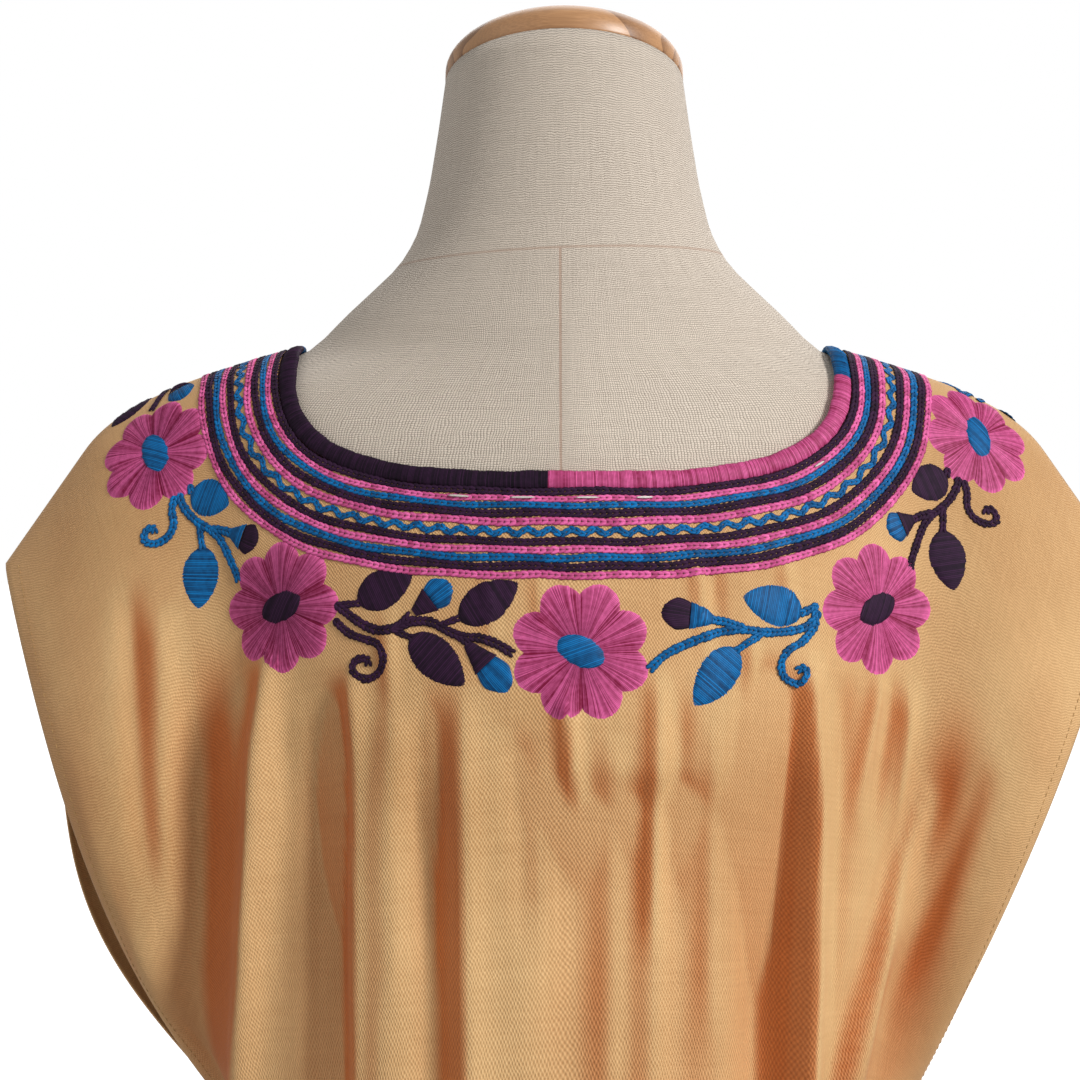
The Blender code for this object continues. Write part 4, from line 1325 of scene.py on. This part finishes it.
flower_patches = Patches()
flower_middles = []
centre_patches = {"blue": Patches(), "purple": Patches()}
for flower in named_rows(FLOWER_COLUMNS, FLOWERS):
    table = chart(float(ring_to_around(flower["ring"])), flower["out"])
    turn = math.radians(flower["turn"])
    flower_middles.append(table[0, 0])
    add_flower(flower_patches, table, flower["radius"], turn)
    ends = on_chart(table, np.array([turn, turn + math.pi]), np.full(2, CENTRE_LENGTH / 2))
    satin(centre_patches[flower["centre"]], ends[0], ends[1], oval_outline, CENTRE_WIDTH,
          pitch=CENTRE_PITCH, slant=0.5, height=0.0016)
flower_patches.finish("flower_petals", THREADS["pink"])

# %% [markdown]
# ## Stems, leaves and buds
# Between two flowers runs one stem with leaves, buds and a curl, in blue and purple by turns. A long one
# has three leaves and two buds, and a short one two leaves and one bud. Each point below gives three sizes
# in millimetres: from the middle of the first flower towards the next, out from the neck, and the line's
# width.

# %% Two stems
GAP = 132.0  # millimetres between flowers, for which the stems below are drawn
STEM_LINES = {
    "long": {
        "stem": ((26, -4, 3.4), (33, -1, 3.6), (41, 2, 3.8), (49, 3, 4.0), (56, 0, 4.0), (61, -6, 3.6)),
        "branch": (
            (54, 2, 3.4), (62, -3, 3.4), (70, -4, 3.6), (77, -1, 3.8), (84, 1, 3.8), (91, 1, 3.8),
            (98, 3, 4.0), (105, 7, 4.0),
        ),
        "curl": (
            (27, 3, 3.4), (35, 7, 3.4), (43, 8, 3.4), (49, 9, 3.4), (53, 14, 3.4), (52, 20, 3.4),
            (46, 25, 3.4), (40, 23, 3.4), (40, 18, 3.2), (45, 16, 3.2), (46, 19, 3.0),
        ),
        "stalk_one": ((28, -4, 2.8), (37, -7, 2.8)),
        "stalk_two": ((74, -3, 2.8), (82, -7, 2.8)),
        "stalk_three": ((55, 2, 2.8), (63, 4, 2.8)),
        "stalk_bud": ((82, 1, 3.0), (87, 4, 3.2)),
    },
    "short": {
        "stem": (
            (28, 2, 3.6), (35, 6, 3.8), (45, 6, 3.8), (56, 4, 3.8), (66, 1, 3.8), (76, 1, 3.6),
            (88, 4, 3.4), (98, 8, 3.0), (105, 14, 2.4),
        ),
        "branch": ((64, 1, 3.4), (71, -3, 3.6), (77, -5, 3.6)),
        "curl": (
            (31, 7, 3.4), (39, 12, 3.4), (46, 14, 3.4), (50, 19, 3.4), (49, 26, 3.4), (44, 30, 3.4),
            (40, 27, 3.4), (41, 23, 3.2), (44, 24, 3.0),
        ),
        "stalk_one": ((28, -1, 3.4), (37, 0, 3.4)),
        "stalk_two": ((56, 4, 3.0), (69, 10, 3.0)),
        "knot": ((30, -1, 3.4), (31, 7, 3.4)),
    },
}
SHAPE_COLUMNS = ("chart", "kind", "x", "out", "x_tip", "out_tip", "width")
STEM_SHAPES = (
    ("long", "leaf", 36, -7, 59, -24, 19),
    ("long", "leaf", 82, -6, 106, -24, 19),
    ("long", "leaf", 62, 3, 86, 22, 19),
    ("long", "bud", 62, -7, 77, -22, 14.5),
    ("long", "bud", 86, 4, 104, 23, 14.5),
    ("short", "leaf", 36, 0, 62, -13, 19),
    ("short", "leaf", 68, 9, 88, 31, 19),
    ("short", "bud", 76, -5, 99, -11, 14.5),
)
CUP_SHARE = 0.45
STEM_OUT = 0.0620
STEM_DRIFT = 0.0055
STITCH_PITCH = 0.0023
FLOWER_EDGE = 0.0265  # no stem is stitched over a flower
STEM_FULLNESS = 1.32  # the loops swell over the drawn width


def stem_place(table, start, end, x, out):
    share = np.asarray(x, float) / GAP
    out = STEM_OUT + STEM_DRIFT * share + np.asarray(out, float) / 1000
    return on_map(table, ring_to_around(start + (end - start) * share), out)


def smooth_line(values, steps=10):
    """A smooth curve through rows of values."""
    values = np.array(values, float)
    padded = np.concatenate([2 * values[:1] - values[1:2], values, 2 * values[-1:] - values[-2:-1]])
    pieces = []
    for a, b, c, d in zip(padded, padded[1:], padded[2:], padded[3:]):
        t = np.linspace(0, 1, steps, endpoint=False)[:, None]
        pieces.append(b + 0.5 * t * (c - a + t * (2 * a - 5 * b + 4 * c - d + t * (3 * (b - c) + d - a))))
    return np.concatenate(pieces + [values[-1:]])


def add_stem(chart, start, end, shift, colour, other):
    for rows in STEM_LINES[chart].values():
        line = smooth_line([(x, out + shift, width) for x, out, width in rows])
        points = stem_place(cloth_map, start, end, line[:, 0], line[:, 1])
        normals = stem_place(map_normals, start, end, line[:, 0], line[:, 1])
        away = np.linalg.norm(points[:, None] - np.array(flower_middles)[None], axis=-1).min(-1)
        points, normals = points[away > FLOWER_EDGE], normals[away > FLOWER_EDGE]
        if len(points) > 2:
            width = line[:, 2].mean() / 1000 * STEM_FULLNESS
            lay_along(chains[colour], points, normals, width, STITCH_PITCH)
    for shape in named_rows(SHAPE_COLUMNS, STEM_SHAPES):
        if shape["chart"] != chart:
            continue
        foot = stem_place(cloth_map, start, end, shape["x"], shape["out"] + shift)
        tip = stem_place(cloth_map, start, end, shape["x_tip"], shape["out_tip"] + shift)
        width = shape["width"] / 1000
        if shape["kind"] == "leaf":
            satin(centre_patches[colour], foot, tip, leaf_outline, width)
        else:
            middle = foot + (tip - foot) * CUP_SHARE
            satin(centre_patches[colour], foot, middle, cup_outline, width * 0.9, height=0.0012)
            bud(centre_patches[other], middle - (tip - foot) * 0.04, tip, width)


STEM_COLUMNS = ("chart", "start", "end", "shift", "colour", "other")
STEMS = (
    ("long", 0.135, -0.006, 0, "purple", "blue"),
    ("short", -0.148, -0.006, 0, "blue", "purple"),
    ("short", 0.246, 0.135, -8, "blue", "purple"),
    ("short", -0.256, -0.148, -8, "purple", "blue"),
    ("short", 0.345, 0.246, -6, "purple", "blue"),
    ("short", 0.345, 0.477, -2, "blue", "purple"),
    ("long", 0.477, 0.609, 0, "purple", "blue"),
    ("long", -0.256, -0.375, 0, "blue", "purple"),
    ("short", -0.375, -0.497, 0, "purple", "blue"),
    ("long", -0.497, -0.629, 0, "blue", "purple"),
)
for stem in named_rows(STEM_COLUMNS, STEMS):
    add_stem(**stem)
for colour, patches in centre_patches.items():
    patches.finish("satin_" + colour, THREADS[colour])

# %% [markdown]
# ## Hems
# The foot of the blouse and both sleeve openings are turned in once and held by a row of small running
# stitches.

# %% Stitch the hems
HEM_IN = 0.0060
HEM_PITCH = 0.0036
for half in (back_half, front_half):
    even = np.linspace(0, 1, 240)
    along_hem = (2 * even - 1) * 0.985
    lines = [(along_hem, 2 - HEM_IN / (WAIST_RING_Z - HEM_Z) + 0 * even)]
    lines += [(side * (1 - HEM_IN / SHOULDER_LINE * 1.6) + 0 * even, 0.03 + 0.94 * even) for side in (-1, 1)]
    for across, down in lines:
        line = blouse_surface(half, across, down)
        normals = outwards(surface_normals(half, blouse_surface, across, down), line)
        line = line + normals * 0.0001
        lay_along(runs["mustard"], line, normals, 0.0007, HEM_PITCH, lap=0.62)

# %% Join the stitches of each colour
for colour in chains:
    finish_copies("chain_" + colour, chains[colour], CHAIN_STITCH, THREADS[colour])
finish_copies("tacking_stitches", runs["white"], RUNNING_STITCH, THREADS["white"])
finish_copies("hem_stitches", runs["mustard"], RUNNING_STITCH, THREADS["mustard"])

# %% [markdown]
# ## The neck roll
# The raw edge is rolled and wrapped in thread, stitch beside stitch, in blocks of purple, pink and blue.

# %% Wrap the roll
ROLL_THREADS = 1500
ROLL_SIDES = 10
ROLL_BLOCKS = (
    (-0.470, "pink"), (-0.372, "purple"), (-0.245, "blue"), (-0.172, "pink"),
    (0.008, "purple"), (0.212, "blue"), (0.300, "pink"), (0.396, "purple"), (0.448, "pink"),
)

roll_around = np.linspace(0, edge_length, 2 * ROLL_THREADS + 1) - CENTRE_BACK
roll_edge = on_map(cloth_map, roll_around, 0 * roll_around)
roll_normal = unit(smooth_round(on_map(map_normals, roll_around, 0 * roll_around)[:-1], 20))
roll_along = unit(smooth_round(np.roll(roll_edge[:-1], -1, 0) - np.roll(roll_edge[:-1], 1, 0), 12))
roll_normal = unit(roll_normal - (roll_normal * roll_along).sum(-1)[:, None] * roll_along)
roll_inside = np.cross(roll_normal, roll_along)
towards_form = np.array((0, 0, SHOULDER_Z)) - roll_edge[:-1]
roll_inside = roll_inside * np.sign((roll_inside * towards_form).sum(-1))[:, None]
top, own = thread_values(ROLL_THREADS, 0.05, 1.0)
wide = ROLL_WIDTH * (1 + 0.07 * (own[:-1] - 0.65)) + 0.00035 * np.sin(roll_around[:-1] * 150)
wide = wide + 0.00025 * np.sin(roll_around[:-1] * 410 + 1)
roll_centre = roll_edge[:-1] + roll_inside * (ROLL_WIDTH / 2 + SEAM_GAP) - roll_normal * ROLL_DEPTH
section = np.arange(ROLL_SIDES + 1) * math.tau / ROLL_SIDES
rise = ROLL_THICKNESS / 2 - THREAD_HEIGHT * (1 - top[:-1])
roll_points = (roll_centre[:, None]
               + roll_inside[:, None] * (wide / 2)[:, None, None] * np.cos(section)[None, :, None]
               + roll_normal[:, None] * rise[:, None, None] * np.sin(section)[None, :, None])
roll_points = np.concatenate([roll_points, roll_points[:1]])
# shade: each wrap's own tone, with painted shade in the groove between wraps.
roll_shade = np.repeat((own * top * 0.9 + 0.1)[:, None], ROLL_SIDES + 1, 1)
bm, column, row = grid_mesh(2 * ROLL_THREADS + 1, ROLL_SIDES + 1)
shade_layer = bm.verts.layers.float.new("shade")
for v, i, j in zip(bm.verts, column, row):
    v.co = roll_points[i, j]
    v[shade_layer] = roll_shade[i, j]
bm.verts.index_update()
block_starts = [start for start, colour in ROLL_BLOCKS]
block_colours = ["pink", "blue", "purple"]
for face in bm.faces:
    place = roll_around[min(column[v.index] for v in face.verts)]
    place = (place + edge_length / 2) % edge_length - edge_length / 2
    block = ROLL_BLOCKS[max(np.searchsorted(block_starts, place, side="right") - 1, 0)]
    face.material_index = block_colours.index(block[1])
bmesh.ops.remove_doubles(bm, verts=bm.verts, dist=2e-6)
bmesh.ops.recalc_face_normals(bm, faces=bm.faces)
neck_wrap = finished("neck_wrap", bm, [THREADS[colour] for colour in block_colours])
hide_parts("neck_roll")
print("neck roll", ROLL_THREADS, "stitches")

# %% [markdown]
# ## Wood and steel
# The neck cap and the base are turned from pale wood and varnished. The grain is bands of noise stretched
# along one direction, with darker pores between them. The pole is brushed steel, with fine scratches round
# it.

# %% The wood grain
def make_grain_group():
    group, given, result = new_group(
        "wood_grain",
        [("Place", "NodeSocketVector", None), ("Bands per metre", "NodeSocketFloat", 90.0)],
        [("Bands", "NodeSocketFloat"), ("Pores", "NodeSocketFloat")],
    )
    link = group.links.new
    stretch = group.nodes.new("ShaderNodeMapping")
    stretch.inputs["Scale"].default_value = (0.18, 1, 1)
    stretch.inputs["Rotation"].default_value = (0.0, 0.35, 0.6)
    link(given.outputs["Place"], stretch.inputs["Vector"])
    bend = maths(group, "MULTIPLY", noise(group, stretch.outputs[0], 22.0, 2.0), 0.05)
    apart = group.nodes.new("ShaderNodeSeparateXYZ")
    link(stretch.outputs[0], apart.inputs[0])
    across_grain = maths(group, "ADD", apart.outputs[1], bend)
    turns = maths(group, "MULTIPLY", across_grain, given.outputs["Bands per metre"])
    ring = maths(group, "FRACT", turns)
    link(maths(group, "MULTIPLY", ring, ring), result.inputs["Bands"])
    fine = group.nodes.new("ShaderNodeMapping")
    fine.inputs["Scale"].default_value = (60, 1400, 1400)
    fine.inputs["Rotation"].default_value = (0.0, 0.35, 0.6)
    link(given.outputs["Place"], fine.inputs["Vector"])
    link(noise(group, fine.outputs[0], 1.0, 2.0), result.inputs["Pores"])
    return group


GRAIN = make_grain_group()


def make_wood(name, dark, light, foot_z, lean):
    """Varnished wood with painted shade in a dark line at its foot, which leans with the piece."""
    material, shader = new_material(name)
    tree = material.node_tree
    link = tree.links.new
    place = object_map(material)
    grain = place_in(material, GRAIN, place)
    mixed = maths(tree, "MULTIPLY_ADD", grain.outputs["Bands"], -0.55, 0.85)
    pores = maths(tree, "SUBTRACT", grain.outputs["Pores"], 0.5)
    mixed = maths(tree, "ADD", mixed, maths(tree, "MULTIPLY", pores, 0.6))
    apart = tree.nodes.new("ShaderNodeSeparateXYZ")
    link(place, apart.inputs[0])
    height = maths(tree, "MULTIPLY_ADD", apart.outputs[1], -math.tan(math.radians(lean)), apart.outputs[2])
    # Painted shade: darker in a thin line at the foot, where the piece meets what it rests on.
    painted_foot_shade = tree.nodes.new("ShaderNodeMapRange")
    painted_foot_shade.inputs["From Min"].default_value = foot_z + 0.0012
    painted_foot_shade.inputs["From Max"].default_value = foot_z + 0.0042
    painted_foot_shade.inputs["To Min"].default_value = -0.35
    painted_foot_shade.inputs["To Max"].default_value = 0.0
    link(height, painted_foot_shade.inputs["Value"])
    mixed = maths(tree, "ADD", mixed, painted_foot_shade.outputs[0])
    link(colour_ramp(tree, mixed, (0.10, dark), (0.90, light)), shader.inputs["Base Color"])
    link(bump_normal(tree, grain.outputs["Pores"], 0.25, 0.0002), shader.inputs["Normal"])
    link(maths(tree, "MULTIPLY_ADD", grain.outputs["Pores"], 0.25, 0.28), shader.inputs["Roughness"])
    shader.inputs["Coat Weight"].default_value = 0.15
    shader.inputs["Coat Roughness"].default_value = 0.25
    return material


# %% The brushed steel
def make_steel():
    material, shader = new_material("stand_steel")
    tree = material.node_tree
    link = tree.links.new
    stretch = tree.nodes.new("ShaderNodeMapping")
    stretch.inputs["Scale"].default_value = (40, 40, 2600)
    link(object_map(material), stretch.inputs["Vector"])
    scratches = noise(tree, stretch.outputs[0], 1.0, 3.0)
    colour = colour_ramp(tree, scratches, (0.0, (0.42, 0.41, 0.40)), (1.0, (0.66, 0.65, 0.63)))
    link(colour, shader.inputs["Base Color"])
    link(maths(tree, "MULTIPLY_ADD", scratches, 0.30, 0.22), shader.inputs["Roughness"])
    link(bump_normal(tree, scratches, 0.2, 0.0001), shader.inputs["Normal"])
    shader.inputs["Metallic"].default_value = 1.0
    return material


# %% Turn the cap and the base
def turned(name, profile, place, material, node):
    """A piece spun from its profile of radii and heights, in the place of a solid."""
    bm = bmesh.new()
    corners = [bm.verts.new((radius, 0, height)) for radius, height in profile]
    edges = [bm.edges.new(pair) for pair in zip(corners, corners[1:])]
    bmesh.ops.spin(bm, geom=corners + edges, cent=(0, 0, 0), axis=(0, 0, 1), angle=math.tau,
                   steps=TURNED_STEPS, use_merge=True)
    bmesh.ops.remove_doubles(bm, verts=bm.verts, dist=1e-6)
    bmesh.ops.recalc_face_normals(bm, faces=bm.faces)
    bmesh.ops.transform(bm, matrix=place, verts=bm.verts)
    piece = finished(name, bm, material)
    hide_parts(node)
    print(name, len(piece.data.polygons), "faces")


def rounded(radius, foot, top, corner):
    """A profile from the middle of the top, over a rounded corner, to the middle of the underside."""
    turns = np.linspace(0, math.pi / 2, ARC_STEPS)
    arc = [(radius - corner + corner * math.sin(a), top - corner + corner * math.cos(a)) for a in turns]
    edge = [(radius, foot + 0.0016), (radius - 0.0004, foot + 0.0005), (radius - 0.0012, foot)]
    return [(0, top), (radius * 0.5, top)] + arc + edge + [(radius * 0.5, foot), (0, foot)]


def domed(radius, shoulder, top):
    """A profile with a low dome over a short upright edge."""
    turns = np.linspace(0, math.pi / 2, 2 * ARC_STEPS)
    dome = [(radius * math.sin(a), shoulder + (top - shoulder) * math.cos(a)) for a in turns]
    edge = [(radius, 0.0016), (radius - 0.0004, 0.0005), (radius - 0.0012, 0.0)]
    return dome + edge + [(radius * 0.5, 0.0), (0, 0.0)]


TURNED_STEPS = 96
ARC_STEPS = 10
CAP_LEAN = 15
CAP_RADIUS = 0.0575
CAP_HEIGHT = 0.027
CAP_FOOT_Z = 1.0263
BASE_RADIUS = 0.165
BASE_HEIGHT = 0.024
BASE_CORNER = 0.008
CAP_SHOULDER = 0.006
CAP_LINE_Z = 1.026  # where the painted shade line at the cap's foot, against the linen, starts
# where the painted shade line at the base's foot, against the floor, starts
BASE_LINE_Z = -0.003
STEEL = make_steel()
CAP_WOOD = make_wood("cap_wood", (0.16, 0.065, 0.022), (0.52, 0.27, 0.12), CAP_LINE_Z, CAP_LEAN)
BASE_WOOD = make_wood("base_wood", (0.20, 0.09, 0.035), (0.56, 0.32, 0.15), BASE_LINE_Z, 0)
lean = Matrix.Rotation(math.radians(CAP_LEAN), 4, "X")
cap_place = Matrix.Translation(Vector((0, FORM_ROWS[-1][5], CAP_FOOT_Z))) @ lean
cap_profile = domed(CAP_RADIUS, CAP_SHOULDER, CAP_HEIGHT)
base_profile = rounded(BASE_RADIUS, 0.0, BASE_HEIGHT, BASE_CORNER)
turned("neck_cap", cap_profile, cap_place, CAP_WOOD, "form_neck_cap")
turned("round_base", base_profile, Matrix.Identity(4), BASE_WOOD, "stand_base")
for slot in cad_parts["stand_pole"].material_slots:
    slot.material = STEEL

# %% [markdown]
# ## Floor and light
# The picture was lit by a window on its right. A broad sun gives that light, two weaker ones fill the left
# and the front, and the sky adds the rest. The sky and the floor look white to the camera, and give less
# light.

# %% The floor
FLOOR_SEEN = 0.93
FLOOR_LIGHT = 0.45
FLOOR_GLOW = 0.38
SKY_SEEN = 1.0
SKY_LIGHT = 0.42

bm = bmesh.new()
bmesh.ops.create_circle(bm, cap_ends=True, segments=96, radius=40.0)
floor_mesh = bpy.data.meshes.new("studio_floor")
bm.to_mesh(floor_mesh)
bm.free()
floor_material, floor_shader = new_material("studio_floor_paint")
floor_tree = floor_material.node_tree
seen = floor_tree.nodes.new("ShaderNodeLightPath").outputs["Is Camera Ray"]
floor_grey = maths(floor_tree, "MULTIPLY_ADD", seen, FLOOR_SEEN - FLOOR_LIGHT, FLOOR_LIGHT)
floor_tree.links.new(floor_grey, floor_shader.inputs["Base Color"])
floor_tree.links.new(maths(floor_tree, "MULTIPLY", seen, FLOOR_GLOW), floor_shader.inputs["Emission Strength"])
floor_shader.inputs["Emission Color"].default_value = (1, 1, 1, 1)
floor_shader.inputs["Roughness"].default_value = 0.9
floor_mesh.materials.append(floor_material)
floor = bpy.data.objects.new("studio_floor", floor_mesh)
bpy.context.scene.collection.objects.link(floor)

# %% Light
world = bpy.data.worlds.new("studio_world")
bpy.context.scene.world = world
world.use_nodes = True
sky = world.node_tree.nodes["Background"]
sky.inputs["Color"].default_value = (1, 1, 1, 1)
seen = world.node_tree.nodes.new("ShaderNodeLightPath").outputs["Is Camera Ray"]
sky_strength = maths(world.node_tree, "MULTIPLY_ADD", seen, SKY_SEEN - SKY_LIGHT, SKY_LIGHT)
world.node_tree.links.new(sky_strength, sky.inputs["Strength"])
bpy.context.scene.view_settings.view_transform = "Standard"


def add_sun(name, towards, strength, spread):
    data = bpy.data.lights.new(name, "SUN")
    data.energy = strength
    data.angle = math.radians(spread)
    lamp = bpy.data.objects.new(name, data)
    lamp.rotation_euler = Vector(towards).to_track_quat("-Z", "Y").to_euler()
    bpy.context.scene.collection.objects.link(lamp)


add_sun("window_light", (0.78, -0.57, -0.45), 2.7, 16)
add_sun("left_fill", (-0.80, -0.50, -0.30), 0.25, 60)
add_sun("front_fill", (0.20, 1.00, -0.60), 1.2, 60)
